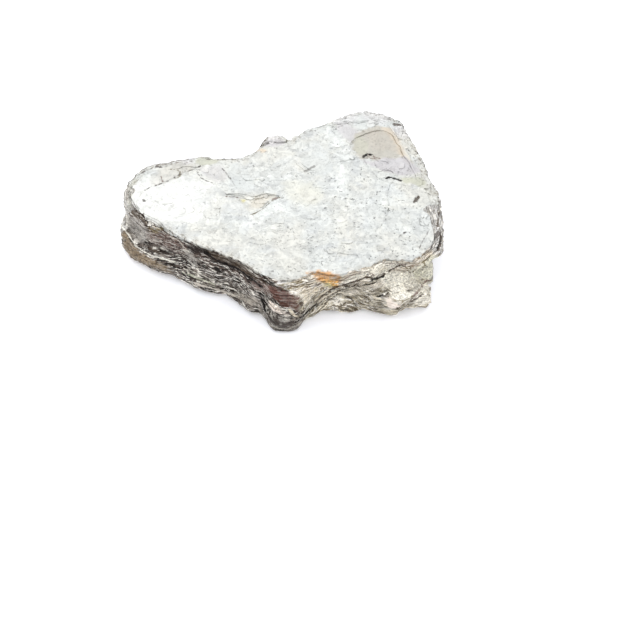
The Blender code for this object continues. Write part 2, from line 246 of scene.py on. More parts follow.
# Tones of the marks, as seen in soft light, from 0 to 255.
TONES = {
    "soot": (22, 17, 15), "umber": (76, 63, 50), "rust": (96, 66, 57), "mauve": (134, 114, 106),
    "slate": (86, 79, 75), "grey": (150, 148, 144), "ash": (176, 171, 164), "stone": (202, 194, 182),
    "cream": (228, 218, 198), "white": (242, 238, 226), "rosy": (238, 226, 214),
    "lilac": (210, 206, 208), "olive": (118, 106, 76), "sage": (206, 206, 186),
    "straw": (222, 212, 140), "ochre": (232, 162, 68), "beige": (200, 195, 183),
    "peach": (232, 216, 194), "mist": (221, 225, 223), "ivory": (240, 238, 222), "tan": (156, 138, 114),
}
SEEN_TOP, SEEN_SIDE = 0.77, 1.14  # what a tone is multiplied by, so that it looks so in the light there

# The camera's view, in which the marks are laid: the camera's place in mm, how many degrees it looks
# down, its focal length and the width of its sensor in mm, and the pixels along each side.
CAMERA_SPOT = (7.98, -258.58, 260.70)
PITCH = 48
LENS, SENSOR = 100.0, 36.0
VIEW_SIZE = 640
BOOK_SEEN = np.array((283, 225))  # the pixel at the middle of the book
NUDGE, NUDGES = 0.7, 14  # a point beside the book moves so many pixels towards its middle, so often
CHART_POINTS = 360  # along the rim, where the sides are charted

LAMP_SIZE, LAMP_SPOT = (0.30, 0.20), (-0.16, 0.30, 0.34)  # m
LAMP_POWER = 0.9  # W

# Strokes on the sides: half width in mm, tone, strength, and the pixels that the stroke runs through.
SIDE_STROKES = {
    # Painted highlight: a white line along the top edge of the lower ledge at the left foot.
    "painted highlight on the left foot": (0.17, "white", 0.85, ((121, 225), (125, 230), (129, 235), (132, 240),
        (136, 246), (143, 251), (152, 256), (162, 259), (171, 261), (178, 263))),
    "dark spot of the bevel": (0.24, "umber", 0.85, ((132, 211), (134, 214), (137, 218))),
    "upper line of the bevel": (0.13, "umber", 0.7, ((137, 206), (141, 212), (146, 218), (150, 222.5),
        (157, 226), (163, 229))),
    "lower line of the bevel": (0.15, "umber", 0.8, ((135, 208), (139, 214), (143, 220), (148, 226))),
    "cream line under the rim": (0.16, "cream", 0.8, ((149, 223), (154, 226.5), (160, 229), (167, 233))),
    "rosy line": (0.16, "stone", 0.75, ((165, 232), (172, 236.5), (179, 241), (184, 247), (187, 251))),
    "dark pit of the brown face": (0.32, "umber", 0.8, ((150, 248.5), (155, 250.5), (159, 253))),
    "first pale line of the dark face": (0.15, "beige", 0.8, ((188, 269), (196, 273), (204, 275.5),
        (210, 279))),
    "second pale line of the dark face": (0.15, "sage", 0.8, ((183, 272.5), (194, 277), (203, 280),
        (214, 284.5))),
    "pale line of the foot": (0.21, "stone", 0.85, ((196, 283), (206, 286.5), (218, 290), (228, 293.5),
        (236, 297))),
    # Painted shadow: the slot under the overhanging dark slab is drawn in soot.
    "painted shadow in the slot": (0.36, "soot", 1, ((205, 252), (214, 259), (224, 263.5), (235, 267.5), (245, 274),
        (253, 280), (262, 287))),
    "black bits under the rim": (0.2, "soot", 0.95, ((181, 238.5), (184, 240.5), (188, 243))),
    "black line under the rim": (0.16, "soot", 0.9, ((193, 243), (199, 245.5), (205, 248.5),
        (209, 251))),
    "dark gap beside the knob": (0.24, "soot", 0.9, ((262, 299), (264, 305), (265, 311))),
    "pale rim of the knob": (0.17, "stone", 0.6, ((269, 324.5), (277.5, 328), (287.5, 329.5),
        (297.5, 325.5), (302.5, 321))),
    "cream line beside the triangle": (0.23, "cream", 0.85, ((290, 310), (293, 314), (297, 317),
        (300, 315))),
    "first rust dot": (0.32, "umber", 0.95, ((301, 303), (302, 305))),
    "first olive line of the rim": (0.13, "olive", 0.85, ((279, 285), (287, 283.5), (296, 282.5),
        (304, 281.5))),
    "second olive line of the rim": (0.13, "olive", 0.85, ((284, 288), (291, 288.5), (298, 287),
        (305, 285.5), (311, 284))),
    "dark line of the fold": (0.2, "soot", 0.95, ((300, 318), (306, 313), (312, 308), (317, 303.5))),
    "first line of the fold": (0.16, "umber", 0.85, ((314, 303), (320, 298), (327, 292), (334, 288),
        (340, 285.5))),
    "second line of the fold": (0.16, "umber", 0.8, ((318, 304), (326, 298), (334, 293), (341, 290))),
    "first pale line of the fold": (0.16, "cream", 0.85, ((315, 300.5), (323, 293.5), (330, 288.5))),
    "second pale line of the fold": (0.16, "cream", 0.8, ((319, 302.5), (327, 296), (336, 290.5))),
    # Painted shadow: the dark line under the front right edge of the top sheets is drawn in umber, and in
    # soot where it is widest.
    "painted shadow in the front right crack": (0.2, "umber", 1, ((330, 292), (337.5, 286.5), (349, 283), (359, 280.5),
        (366.5, 276.5), (372.5, 278), (380, 277.5), (385, 274), (392.5, 269), (400, 265), (406.5, 264))),
    "wide part of the painted shadow": (0.3, "soot", 1, ((371, 278), (376, 278.5), (382, 276.5))),
    "olive gap": (0.15, "olive", 0.95, ((406, 267.5), (410, 272.5), (415, 270), (422.5, 262.5),
        (429, 257))),
    "second crack": (0.15, "soot", 0.9, ((346, 288.5), (352, 286.5), (360, 285.5), (368, 284.5),
        (375, 282.5))),
    "dark crack of the tier": (0.22, "soot", 0.95, ((377.5, 297), (384, 294.5), (390, 291.5))),
    "pale edge of the lump": (0.25, "rosy", 0.9, ((387, 297), (389, 301), (392, 305), (396, 307.5))),
    "gaps of the lump": (0.16, "olive", 0.85, ((392, 302), (398, 300), (404, 301), (410, 298),
        (416.5, 292.5), (420, 289))),
    "first gap of the tier's end": (0.17, "umber", 0.9, ((407.5, 305), (412.5, 300), (417.5, 298),
        (422.5, 294))),
    "second gap of the tier's end": (0.18, "rust", 0.85, ((414, 296), (418, 290), (422, 285),
        (426, 281.5), (431, 280))),
    "first gap of the right end": (0.23, "umber", 0.9, ((439, 213), (438.5, 220), (437.5, 226))),
    "second gap of the right end": (0.26, "umber", 0.95, ((440, 236), (440.5, 241), (439.5, 246),
        (438, 250))),
    "third gap of the right end": (0.23, "slate", 0.9, ((434, 239), (432.5, 243), (431.5, 246))),
    "black line over the rust": (0.16, "umber", 0.9, ((260, 280), (270, 284.5), (280, 288),
        (287.5, 291))),
    "pale line under the dark face": (0.15, "stone", 0.8, ((195, 285), (207, 287), (220, 289.5),
        (232.5, 294.5))),
    "first fringe of the right end": (0.12, "slate", 0.8, ((421.5, 245), (429, 232.5))),
    "second fringe of the right end": (0.17, "slate", 0.9, ((432.5, 242.5), (437.5, 231.5))),
    "third fringe of the right end": (0.17, "slate", 0.9, ((436.5, 237.5), (441, 231.5))),
    "dark bead of the right end": (0.34, "soot", 0.95, ((437.5, 248), (440, 242.5), (440.5, 240))),
    "dark bits right of the slot": (0.2, "soot", 0.95, ((262, 280), (268, 283), (275, 286), (281, 289))),
    "brown line over the crack": (0.13, "rust", 0.6, ((338, 282), (348, 277), (358, 273), (366, 271),
        (374, 275))),
    "rusty line over the crack": (0.13, "rust", 0.7, ((380, 262), (389, 264), (398, 263), (406, 266))),
    "black line under the fringe": (0.2, "soot", 0.95, ((208, 247), (218, 252), (229, 257), (240, 262))),
}
# Strokes on the cleavage face, in the same way.
TOP_STROKES = {
    "first line of the right end": (0.1, "slate", 0.6, ((429, 230), (426, 236), (422, 242), (419, 249))),
    "dark pit at the right": (0.3, "umber", 0.95, ((418, 197), (416.5, 199.5), (414.5, 202))),
    "crack under the basin": (0.26, "soot", 1, ((387, 178.5), (389, 177), (395, 179), (400.5, 180.5))),
    "upper crack of the recess": (0.14, "rust", 0.9, ((226.5, 196.5), (236.5, 197.5), (244, 198.5),
        (247.5, 199), (252, 197.5))),
    "lower crack of the recess": (0.13, "olive", 0.9, ((250.5, 214.5), (257, 212.5), (262.5, 209),
        (270, 202.5), (275, 199), (281.5, 197))),
    "bead of the lower crack": (0.26, "mauve", 0.8, ((273.5, 199.5), (277, 198))),
    "groove of the flake": (0.24, "grey", 0.85, ((305, 171.5), (309, 169), (314.5, 166))),
    "dark edge of the back knob": (0.2, "umber", 0.95, ((260, 144), (262, 141), (263.5, 138.5))),
    "foot of the back knob": (0.14, "slate", 0.85, ((264, 152), (268, 152))),
    "dotted edge at the back left": (0.14, "slate", 0.9, ((145, 190), (157.5, 185), (163, 183),
        (167.5, 181), (174, 177.5), (180, 174), (185, 172.5), (190, 170.5), (195, 168.5), (200, 166))),
    "hook at the left": (0.13, "olive", 0.85, ((171, 169.5), (176, 169), (180, 172), (180, 176),
        (175, 179))),
    "dotted rim at the left": (0.13, "mauve", 0.8, ((157, 165), (167.5, 163.5), (177.5, 162.5),
        (187.5, 162.5))),
    "first dot of the left rim": (0.26, "slate", 0.9, ((160, 167), (161, 167.5))),
    "inner line of the left rim": (0.12, "grey", 0.8, ((140, 178), (134, 184), (130, 191), (130, 198))),
    "outer line of the left rim": (0.13, "mauve", 0.85, ((133, 180), (128, 187), (126, 195),
        (127, 204))),
    "dark wedge of the basin": (0.3, "soot", 1, ((364, 157), (367, 154.5), (371, 155))),
    "upper line of the wedge": (0.11, "mauve", 0.85, ((368, 155.5), (374, 156.5), (380, 158.5))),
    "lower line of the wedge": (0.11, "mauve", 0.8, ((366, 158), (373, 158.5), (379, 160))),
    "first dark crumb at the back": (0.3, "umber", 0.9, ((394, 124.5), (396, 124))),
    "second dark crumb at the back": (0.28, "umber", 0.9, ((398.5, 125), (400, 125.5))),
    "dash at the right": (0.15, "slate", 0.9, ((399, 237), (402, 234.5), (406, 231.5))),
    "grey lines of the back left": (0.12, "slate", 0.75, ((197, 172), (201, 178), (207, 181),
        (212, 183))),
    "crack right of the lilac": (0.13, "slate", 0.75, ((222, 168), (227, 174), (232, 181), (235, 186))),
    "fork at the left": (0.12, "mauve", 0.8, ((161, 176), (162, 181), (166, 184))),
    "dot at the left": (0.24, "slate", 0.9, ((143.5, 200), (144.5, 201))),
    "dotted outer rim of the left": (0.14, "slate", 0.85, ((124, 197), (128, 187), (135, 177),
        (145, 171), (158, 166), (171, 163), (186, 160), (200, 158), (215, 156), (230, 155))),
    "second dot of the left rim": (0.26, "slate", 0.9, ((137, 174), (138, 173))),
}
# Stains on the sides: softness in mm, tone, strength, and the pixels at the stain's corners.
SIDE_STAINS = {
    "grey facet at the left tip": (0.45, "ash", 0.92, ((127, 217), (132, 216), (138, 219), (144, 226),
        (149, 233), (147, 240), (139, 242), (133, 236), (128, 227))),
    "moss under the rim": (0.4, "olive", 1, ((148, 226.5), (155, 228.5), (161, 226), (167, 229.5),
        (161, 232), (157, 233.5), (151, 232))),
    "brown face at the left": (1, "mauve", 0.55, ((150, 234), (160, 233), (172, 237), (183, 246),
        (184, 252), (172, 252), (158, 246), (150, 241))),
    "black patch": (0.3, "soot", 0.9, ((187, 247), (191, 244.5), (199, 247), (208, 250.5), (205, 254),
        (199, 253), (193, 252.5))),
    "pale facet of the dark face": (0.4, "ash", 0.8, ((185, 253), (190, 252.5), (195, 257), (198, 262),
        (197, 265.5), (193, 262), (188, 256.5))),
    "brown band over the slot": (0.4, "umber", 0.9, ((205, 247), (218, 253), (232, 259), (246, 268),
        (259, 279), (250, 278), (236, 269), (220, 262), (207, 256))),
    "left foot": (0.7, "grey", 0.6, ((121.5, 230), (125.5, 236), (131.5, 245), (133.5, 252),
        (126.5, 250), (121.5, 241))),
    "cream foot": (0.4, "stone", 0.8, ((232.5, 292), (242.5, 293), (252.5, 297), (259, 303),
        (262.5, 312), (255, 307), (245, 302), (235, 297))),
    "mauve over the corner": (0.5, "mauve", 0.75, ((253, 280), (270, 284.5), (277, 288), (275, 298),
        (262.5, 292), (252, 287))),
    "rust at the corner": (0.2, "rust", 0.95, ((268, 285), (282.5, 288), (292.5, 293), (302.5, 298),
        (297, 301), (300, 306), (298, 313), (290, 308.5), (281.5, 305), (273.5, 297))),
    "cream triangle": (0.2, "rosy", 0.95, ((269, 300.5), (276.5, 305.5), (285, 312), (289, 317.5),
        (280, 313), (271.5, 308))),
    "dark knob": (0.4, "slate", 0.85, ((267.5, 313), (275, 315.5), (287.5, 319.5), (294, 320.5),
        (290, 327), (280, 327.5), (270, 322))),
    "rosy cream by the rust": (0.35, "white", 0.85, ((285, 288.5), (293, 289.5), (301, 290.5),
        (304, 296), (301, 298.5), (293, 294))),
    "cream before the fold": (0.6, "cream", 0.7, ((302, 290), (312, 288), (318, 290), (313, 297),
        (306, 303), (302, 300))),
    "yellow beside the ochre": (0.4, "straw", 0.7, ((322, 281.5), (331, 279.5), (338, 282), (339, 286),
        (332, 287.5), (325, 285.5))),
    "cream rim by the crack": (0.5, "cream", 0.85, ((340, 279), (350, 274.5), (360, 271), (368, 269),
        (372, 274), (364, 275), (355, 278.5), (345, 282.5))),
    "rosy rim by the crack": (0.5, "cream", 0.8, ((384, 261), (392, 262), (404, 261.5), (403, 263.5),
        (394, 267), (387, 271), (384, 266))),
    "ledge of the tier": (0.5, "white", 0.95, ((380, 276), (388, 272), (396, 270), (404, 271),
        (411, 270), (417, 277), (415, 285), (407, 288), (398, 287), (390, 288), (382, 284))),
    "cream under the crack": (0.4, "stone", 0.6, ((345, 292), (356, 286), (368, 284), (380, 281),
        (384, 286), (374, 290), (362, 290), (350, 296))),
    "lump of the tier": (0.3, "white", 0.95, ((391, 290), (400, 288), (409, 291.5), (412.5, 296.5),
        (407.5, 301.5), (400, 304), (390, 302.5), (389, 296.5))),
    "leaves of the tier's end": (0.5, "cream", 0.7, ((412.5, 292.5), (422.5, 282.5), (432.5, 279),
        (430, 286.5), (422.5, 297.5), (416.5, 306.5))),
    "olive slope over the tier's end": (0.5, "straw", 0.6, ((414, 271), (419, 267), (425, 261),
        (430, 256), (432, 258), (426, 265), (419, 271))),
    "soft recess over the tier's end": (0.6, "ivory", 0.95, ((416, 268), (424, 261), (432, 256),
        (436, 262), (436, 274), (434, 281), (426, 279), (418, 278))),
    "ochre below the rim": (0.35, "ochre", 0.65, ((314, 277), (322, 278), (332, 279), (340, 281),
        (343, 285), (336, 287), (328, 284), (319, 281))),
    "tan foot at the left": (0.5, "tan", 0.85, ((122, 236), (126, 231), (131, 240), (138, 249),
        (148, 257), (160, 263), (170, 269), (160, 270), (145, 265), (132, 258), (124, 249))),
    "rim over the crack": (0.45, "white", 0.9, ((340, 283), (350, 276), (362, 270), (374, 265),
        (386, 261), (398, 262), (406, 265), (398, 268), (386, 274), (374, 277), (362, 278), (350, 284),
        (342, 289))),
    "pale right end under the rim": (0.6, "white", 0.8, ((410, 290), (420, 284), (434, 284), (437, 292),
        (434, 303), (424, 305), (414, 300))),
}
# Stains on the cleavage face, in the same way.
TOP_STAINS = {
    "grey bevel at the left": (0.3, "grey", 0.7, ((127, 203), (132, 204.5), (136.5, 213), (144, 220),
        (154.5, 228), (148.5, 227), (135.5, 218), (126, 207.5))),
    "ochre": (0.35, "ochre", 0.85, ((307, 273), (313, 271.5), (320, 271), (327, 272), (334, 274),
        (341, 277), (340, 280), (330, 279), (320, 278), (312, 276))),
    "yellow of the recess": (0.25, "straw", 0.8, ((240.5, 199.5), (245, 199.5), (247, 200.5),
        (243, 202))),
    "olive middle of the recess": (0.6, "cream", 0.6, ((252, 199), (262, 194), (272, 194), (276, 197),
        (268, 202), (260, 208), (250, 208))),
    "peach rim of the basin": (0.25, "peach", 0.85, ((371, 133.5), (380, 130), (388, 130.5), (391, 136),
        (385, 135), (376, 136))),
    "peach slope right of the basin": (0.5, "cream", 0.7, ((394, 138.5), (400, 143.5), (406, 152.5),
        (413, 161.5), (409, 164.5), (402, 158.5), (397, 149.5))),
    "olive shelf": (0.3, "sage", 0.85, ((402, 178.5), (418, 177.5), (424, 179.5), (426, 185),
        (420, 186.5), (412, 183.5), (404, 182))),
    "olive rim behind the basin": (0.6, "lilac", 0.7, ((336, 123), (346, 123), (356, 129), (361, 135),
        (356, 139), (350, 143), (344, 138), (338, 131))),
    "lilac back rim": (0.8, "mist", 0.6, ((334.5, 120.5), (344.5, 115.5), (359.5, 112.5), (377.5, 113.5),
        (391.5, 119.5), (399.5, 125.5), (391.5, 129.5), (379.5, 128.5), (365.5, 132.5), (351.5, 125.5))),
    "ochre of the back knob": (0.25, "peach", 0.9, ((255.5, 151), (259.5, 148.5), (264.5, 149),
        (267.5, 151), (262.5, 152.5))),
    "grey back knob": (0.4, "lilac", 0.75, ((264, 140), (271, 137.5), (280, 138), (284, 142), (280, 146),
        (268, 146), (264, 144))),
    "lilac at the back left": (0.7, "lilac", 0.5, ((201, 168), (210, 165), (222, 166), (228, 174),
        (222, 182), (212, 180), (204, 176))),
    "green grey behind the middle": (0.8, "mist", 0.6, ((228, 165), (240, 166), (248, 174), (256, 186),
        (250, 192), (238, 190), (230, 182))),
    # Painted shade: the curled flake is laid over in a blue-grey tone for its shading.
    "painted shade of the curled flake": (0.5, "mist", 0.6, ((300, 160.5), (308, 154.5), (318, 152.5), (330, 158.5),
        (333, 168.5), (326, 177.5), (314, 174.5), (306, 170.5))),
    "yellow in the middle": (1, "ivory", 0.5, ((286, 182), (300, 180), (318, 186), (322, 198),
        (310, 206), (292, 202), (284, 192))),
    "grey left rim": (0.5, "sage", 0.6, ((136, 175), (130, 184), (126, 194), (126, 204), (130, 209),
        (131, 199), (131, 191), (138, 178))),
    "rosy rim at the front left": (0.5, "white", 0.6, ((220, 254.5), (232, 255.5), (246, 264.5),
        (256, 273.5), (248, 269.5), (236, 263.5), (224, 258))),
    "floor of the basin": (0.25, "beige", 0.9, ((352, 143), (356, 134), (366, 129), (378, 126),
        (388, 128), (394, 135), (399, 147), (402, 153), (396, 160), (385, 159), (372, 160), (361, 159),
        (354, 152))),
    "grey middle of the basin": (0.4, "stone", 0.5, ((367, 132), (378, 130), (388, 134), (395, 145),
        (396, 152), (385, 150), (372, 150), (369, 142))),
    "lilac shelf": (0.3, "lilac", 0.85, ((362, 160), (372, 161), (385, 159), (398, 158), (404, 156),
        (413, 164), (421, 172), (408, 176), (395, 173), (378, 169))),
    "olive crumbs at the back left": (0.4, "sage", 0.8, ((197, 158), (205, 156.5), (215, 157),
        (222, 159), (215, 163), (205, 166), (198, 164))),
    "rosy band at the back left": (0.5, "stone", 0.35, ((150, 178), (160, 170), (172, 166), (188, 163),
        (197, 164), (193, 170), (180, 176), (165, 183), (152, 186))),
    "peach right of the basin": (0.5, "peach", 0.6, ((380, 127), (390, 128), (397, 135), (402, 146),
        (405, 154), (400, 156), (395, 146), (389, 136))),
    "facet of the basin": (0.25, "sage", 0.45, ((353, 142), (358, 135), (365, 138), (368, 146),
        (366, 155), (357, 153))),
}
BACK = 90  # the bearing from which the way round the book is measured
TOP_BROKEN, SIDE_BROKEN, BOLD_BROKEN = 0.8, 0.15, 0.1  # how far a stroke is broken into dots
BOLD = 0.19  # half width in mm from which a stroke is bold
LEANING = 1.1  # how much lower, in mm, a place is seen for each mm that it stands out past the rim
FAR = 9.0  # mm, further than any stroke's look reaches
STAIN_WAVER = 0.5  # mm
STROKE_CLEAR = (0.7, 1.4)  # how near to a stroke, in mm, flakes are rare, and where that ends


class BookSettings(bpy.types.PropertyGroup):
    """Sizes of the mica book."""

    rim_height: FloatProperty(
        name="Rim height", description="Top of the sheets that form the rim",
        default=10.0 * MM, unit="LENGTH")
    end_drop: FloatProperty(
        name="End drop", description="How far the sheets bend down at the right end",
        default=1.5 * MM, unit="LENGTH")
    sheet_scatter: FloatProperty(
        name="Sheet scatter", description="How far one sheet's edge stands out from the next",
        default=0.5 * MM, unit="LENGTH")
    leaf_scatter: FloatProperty(
        name="Leaf scatter", description="How far one leaf's edge stands out from the next",
        default=0.16 * MM, unit="LENGTH")
    gap_depth: FloatProperty(
        name="Gap depth", description="Depth of the gaps between the sheets",
        default=0.45 * MM, unit="LENGTH")
    edge_points: IntProperty(
        name="Edge points", description="Points round each leaf's outline", default=700)
    face_spacing: FloatProperty(
        name="Face spacing", description="Distance between the points of the cleavage face",
        default=0.33 * MM, unit="LENGTH")
    crease_depth: FloatProperty(
        name="Crease depth", description="Depth of the cracks at the foot of the steps",
        default=0.22 * MM, unit="LENGTH")
    chip_depth: FloatProperty(
        name="Chip depth", description="Depth of the chips in the leaves' edges",
        default=0.10 * MM, unit="LENGTH")
    crumple: FloatProperty(
        name="Crumple", description="Height of the small creases in the cleavage face",
        default=0.07 * MM, unit="LENGTH")
    seed: IntProperty(name="Seed", description="Where the torn skins fall", default=7)


class LeavesSettings(bpy.types.PropertyGroup):
    """The splintered leaves that stand out of the sides."""

    density: FloatProperty(name="Density", description="Leaves per square metre", default=1.2e5)
    depth: FloatProperty(
        name="Depth", description="Reach of a leaf from its middle", default=0.42 * MM, unit="LENGTH")
    length: FloatProperty(
        name="Length", description="Reach of a leaf along the side", default=1.2 * MM, unit="LENGTH")
    thickness: FloatProperty(
        name="Thickness", description="Thickness of a leaf", default=0.07 * MM, unit="LENGTH")
    sunk: FloatProperty(
        name="Sunk", description="How far a leaf's middle lies inside the side",
        default=0.36 * MM, unit="LENGTH")
    seed: IntProperty(name="Seed", description="Where the leaves stand out", default=3)


class FlakesSettings(bpy.types.PropertyGroup):
    """The torn flakes that lie on the cleavage face."""

    density: FloatProperty(name="Density", description="Flakes per square metre", default=3.2e5)
    size: FloatProperty(
        name="Size", description="Reach of a flake from its middle", default=0.75 * MM, unit="LENGTH")
    thickness: FloatProperty(
        name="Thickness", description="Thickness of a flake", default=0.07 * MM, unit="LENGTH")
    tilt: FloatProperty(
        name="Tilt", description="How far a flake stands up", default=math.radians(5), subtype="ANGLE")
    seed: IntProperty(name="Seed", description="Where the flakes lie", default=5)


class CrumbsSettings(bpy.types.PropertyGroup):
    """The crumbs where the book has crumbled."""

    density: FloatProperty(name="Density", description="Crumbs per square metre", default=1.0e6)
    size: FloatProperty(
        name="Size", description="Reach of a crumb from its middle", default=0.40 * MM, unit="LENGTH")
    seed: IntProperty(name="Seed", description="Where the crumbs lie", default=11)


class StageSettings(bpy.types.PropertyGroup):
    """Floor, light and camera."""

    floor_size: FloatProperty(
        name="Floor size", description="Side of the floor", default=3.0, unit="LENGTH")
    pitch: FloatProperty(
        name="Pitch", description="How far the camera looks down",
        default=math.radians(PITCH), subtype="ANGLE")
    lens: FloatProperty(
        name="Lens", description="Focal length of the camera", default=LENS, unit="CAMERA")
    sky: FloatProperty(
        name="Sky", description="Brightness of the light from all round", default=1.36)
    floor_glow: FloatProperty(
        name="Floor glow", description="How brightly the lit table shines by itself", default=0.14)
    floor_colour: FloatVectorProperty(
        name="Floor colour", description="Colour of the floor", size=3, subtype="COLOR",
        default=(0.95, 0.955, 0.985))


# ---------------------------------------------------------------- outlines and levels

def fade(value, low, high):
    """0 at low and 1 at high, smooth in between."""
    share = np.clip((value - low) / (high - low), 0.0, 1.0)
    return share * share * (3 - 2 * share)


def near(bearing, middle, half_width):
    """1 round the middle bearing, falling to 0 at half_width on either side."""
    turn = np.abs((bearing - middle + 180) % 360 - 180)
    return 1 - fade(turn / half_width, FORM_PLATEAU, 1.0)


def wave(points, length, layer=0.0):
    """Smooth noise from -1 to 1 at each point of the plan, different for each layer."""
    return np.array([noise.noise((x / length, y / length, LAYER_STEP * layer)) for x, y in points])


def between(bearing, start, end, soft):
    """1 from the start to the end bearing, falling softly to 0 outside them."""
    half = (end - start) / 2
    turn = np.abs((bearing - start - half + 180) % 360 - 180)
    return 1 - fade(turn, half - soft, half + soft)


def ragged(edge, depths, layer=0):
    """The closed edge with notches and teeth, each of its own depth and length."""
    shift = sum(deep * wave(edge, long, layer + n) for n, (deep, long) in enumerate(depths))
    return edge + outward(edge) * shift[:, None]


def bearings(points):
    return np.degrees(np.arctan2(points[:, 1], points[:, 0])) % 360


def radii(points):
    return np.linalg.norm(points, axis=1)


def even_outline(corners, count):
    """The closed curve through the corners, as count points at equal distances."""
    corners = np.array(corners, float)
    share = np.linspace(0, 1, CURVE_STEPS, endpoint=False)[:, None]
    a, b, c, d = (np.roll(corners, turn, axis=0)[:, None] for turn in (1, 0, -1, -2))
    fine = 0.5 * (2 * b + (c - a) * share + (2 * a - 5 * b + 4 * c - d) * share**2
                  + (3 * b - a - 3 * c + d) * share**3)
    closed = np.vstack([fine.reshape(-1, 2), corners[:1]])
    along = np.concatenate([[0], np.cumsum(radii(np.diff(closed, axis=0)))])
    wanted = np.linspace(0, along[-1], count, endpoint=False)
    return np.stack([np.interp(wanted, along, closed[:, axis]) for axis in (0, 1)], axis=1)


def outward(edge):
    """Unit vectors across a counter-clockwise edge, away from what it encloses."""
    along = np.roll(edge, -1, axis=0) - np.roll(edge, 1, axis=0)
    across = np.stack([along[:, 1], -along[:, 0]], axis=1)
    return across / radii(across)[:, None]


def kept_inside(points, rim, margin):
    """The points, pulled towards the middle until they are a margin inside the rim."""
    order = np.argsort(bearings(rim))
    limit = np.interp(bearings(points), bearings(rim)[order], radii(rim)[order], period=360)
    return points * np.minimum(1.0, (limit - margin) / radii(points))[:, None]


def inside(points, edge):
    """Which of the points lie inside the closed edge."""
    close = np.flatnonzero(((points >= edge.min(axis=0)) & (points <= edge.max(axis=0))).all(axis=1))
    x, y = points[close, 0], points[close, 1]
    within = np.zeros(len(close), bool)
    for (ax, ay), (bx, by) in zip(edge, np.roll(edge, -1, axis=0)):
        if ay != by:
            crossed = (ay > y) != (by > y)
            within ^= crossed & (x < ax + (y - ay) * (bx - ax) / (by - ay))
    found = np.zeros(len(points), bool)
    found[close] = within
    return found


def reach(bearing, level):
    """How far the side stands out past the rim's outline at each bearing and level."""
    out = -FOOT_INSET * (1 - fade(level, 0.3 * FOOT_LEVEL, FOOT_LEVEL))
    soft = FORM_SOFTNESS / 2
    for middle, half_width, low, high, far, taper in SIDE_FORMS.values():
        rising = fade(level, low - soft, low + soft)
        falling = fade(level, high - taper / 2, high + taper / 2)
        out = out + far * near(bearing, middle, half_width) * rising * (1 - falling)
    return out


def sheet_levels():
    """Shares of the height at which one sheet ends and the next begins."""
    spread = (1 - THINNEST_SHEET) / 0.5
    thickness = [1 + spread * noise.noise((0.5, 2.6 * n, 0)) for n in range(SHEETS)]
    levels = np.cumsum([0.0] + [max(THINNEST_SHEET, part) for part in thickness])
    return levels / levels[-1]


# ---------------------------------------------------------------- the cleavage face

def step_edges(rim, book):
    """(edge, thickness, whether it is whole) of each ply of each step, and of the torn skins."""
    made = []
    for name, (outline, thickness, plies, setback) in STEPS.items():
        length = radii(np.diff(np.array(outline), axis=0)).sum()
        count = max(12, round(length / (1.2 * book.face_spacing / MM)))
        for ply in range(plies):
            edge = even_outline(outline, count)
            back = setback * ply * (1 + wave(edge, 6.0, 50 + ply))
            edge = ragged(edge - outward(edge) * back[:, None], STEP_RAGGED, 40 + 3 * ply)
            whole = name in WHOLE_STEPS
            made.append((kept_inside(edge, rim, MARGIN), thickness / plies, whole))
    return made + torn_skins(rim, book)


def torn_skins(rim, book):
    """Small irregular outlines of single leaves, left on the face or torn out of it."""
    draw = np.random.default_rng(book.seed)
    made = []
    while len(made) < SKINS:
        middle = draw.uniform((-30, -20), (30, 26))
        size = draw.uniform(*SKIN_SIZES)
        turn = np.sort(draw.uniform(0, 2 * math.pi, SKIN_CORNERS))
        far = size * draw.uniform(0.55, 1.15, SKIN_CORNERS)
        thickness = draw.uniform(*SKIN_THICKNESS) * draw.choice((-1, 1))
        stretch = draw.uniform(0.45, 1.0)
        if not inside(middle[None] * 1.12, rim)[0]:
            continue
        outline = middle + np.stack([np.cos(turn), stretch * np.sin(turn)], axis=1) * far[:, None]
        count = max(12, round(2 * math.pi * size / (1.3 * book.face_spacing / MM)))
        edge = even_outline(outline, count)
        made.append((kept_inside(edge, rim, 2 * MARGIN), thickness, False))
    return made


def presence(points, number, whole):
    """How much of a step's thickness is there at each point."""
    if whole:
        return np.ones(len(points))
    return FADED_SHARE + (1 - FADED_SHARE) * fade(wave(points, 5.0, 300 + number), -0.25, 0.2)


def top_heights(points, steps, book):
    """Height of the top at each point of the plan, in mm."""
    height = book.rim_height / MM + sum(rise * wave(points, long) for rise, long in SWELLS)
    height -= book.end_drop / MM * fade(points[:, 0], DROP_FROM, DROP_TO)
    for number, (edge, thickness, whole) in enumerate(steps):
        within = inside(points, edge)
        height[within] += thickness * presence(points[within], number, whole)
    return height


def cleavage_face(rim, steps, book):
    """(points, triangles, rim number of each point or -1, how deep in a crease) of the top face."""
    points, walls, creased = [rim], [ring_edges(0, len(rim))], [np.zeros(len(rim))]
    count = len(rim)
    for number, (edge, thickness, whole) in enumerate(steps):
        across = outward(edge) * WALL_SPREAD / 2
        depth = min(1.0, abs(thickness) / CREASE_FULL) * presence(edge, number, whole)
        for side, lower in ((edge - across, thickness < 0), (edge + across, thickness > 0)):
            points.append(kept_inside(side, rim, MARGIN / 2))
            walls.append(ring_edges(count, len(edge)))
            creased.append(depth * (1.0 if lower else -UPPER_LINE))
            count += len(edge)
    points.append(loose_points(rim, book))
    creased.append(np.zeros(len(points[-1])))
    creased = np.concatenate(creased)
    flat = [Vector(point) for point in np.vstack(points)]
    made = geometry.delaunay_2d_cdt(flat, np.vstack(walls).tolist(), [], 0, 1e-6, True)
    flat = np.array([tuple(point) for point in made[0]])
    triangles = np.array([face for face in made[2] if len(face) == 3])
    triangles = triangles[inside(flat[triangles].mean(axis=1), rim)]
    on_rim = np.array([min([n for n in sources if n < len(rim)], default=-1) for sources in made[3]])
    crease = np.array([creased[sources].max() if sources else 1.0 for sources in made[3]])
    return flat, triangles, on_rim, crease


def ring_edges(start, count):
    """Vertex pairs of a closed ring."""
    here = np.arange(count)
    return np.stack([start + here, start + (here + 1) % count], axis=1)


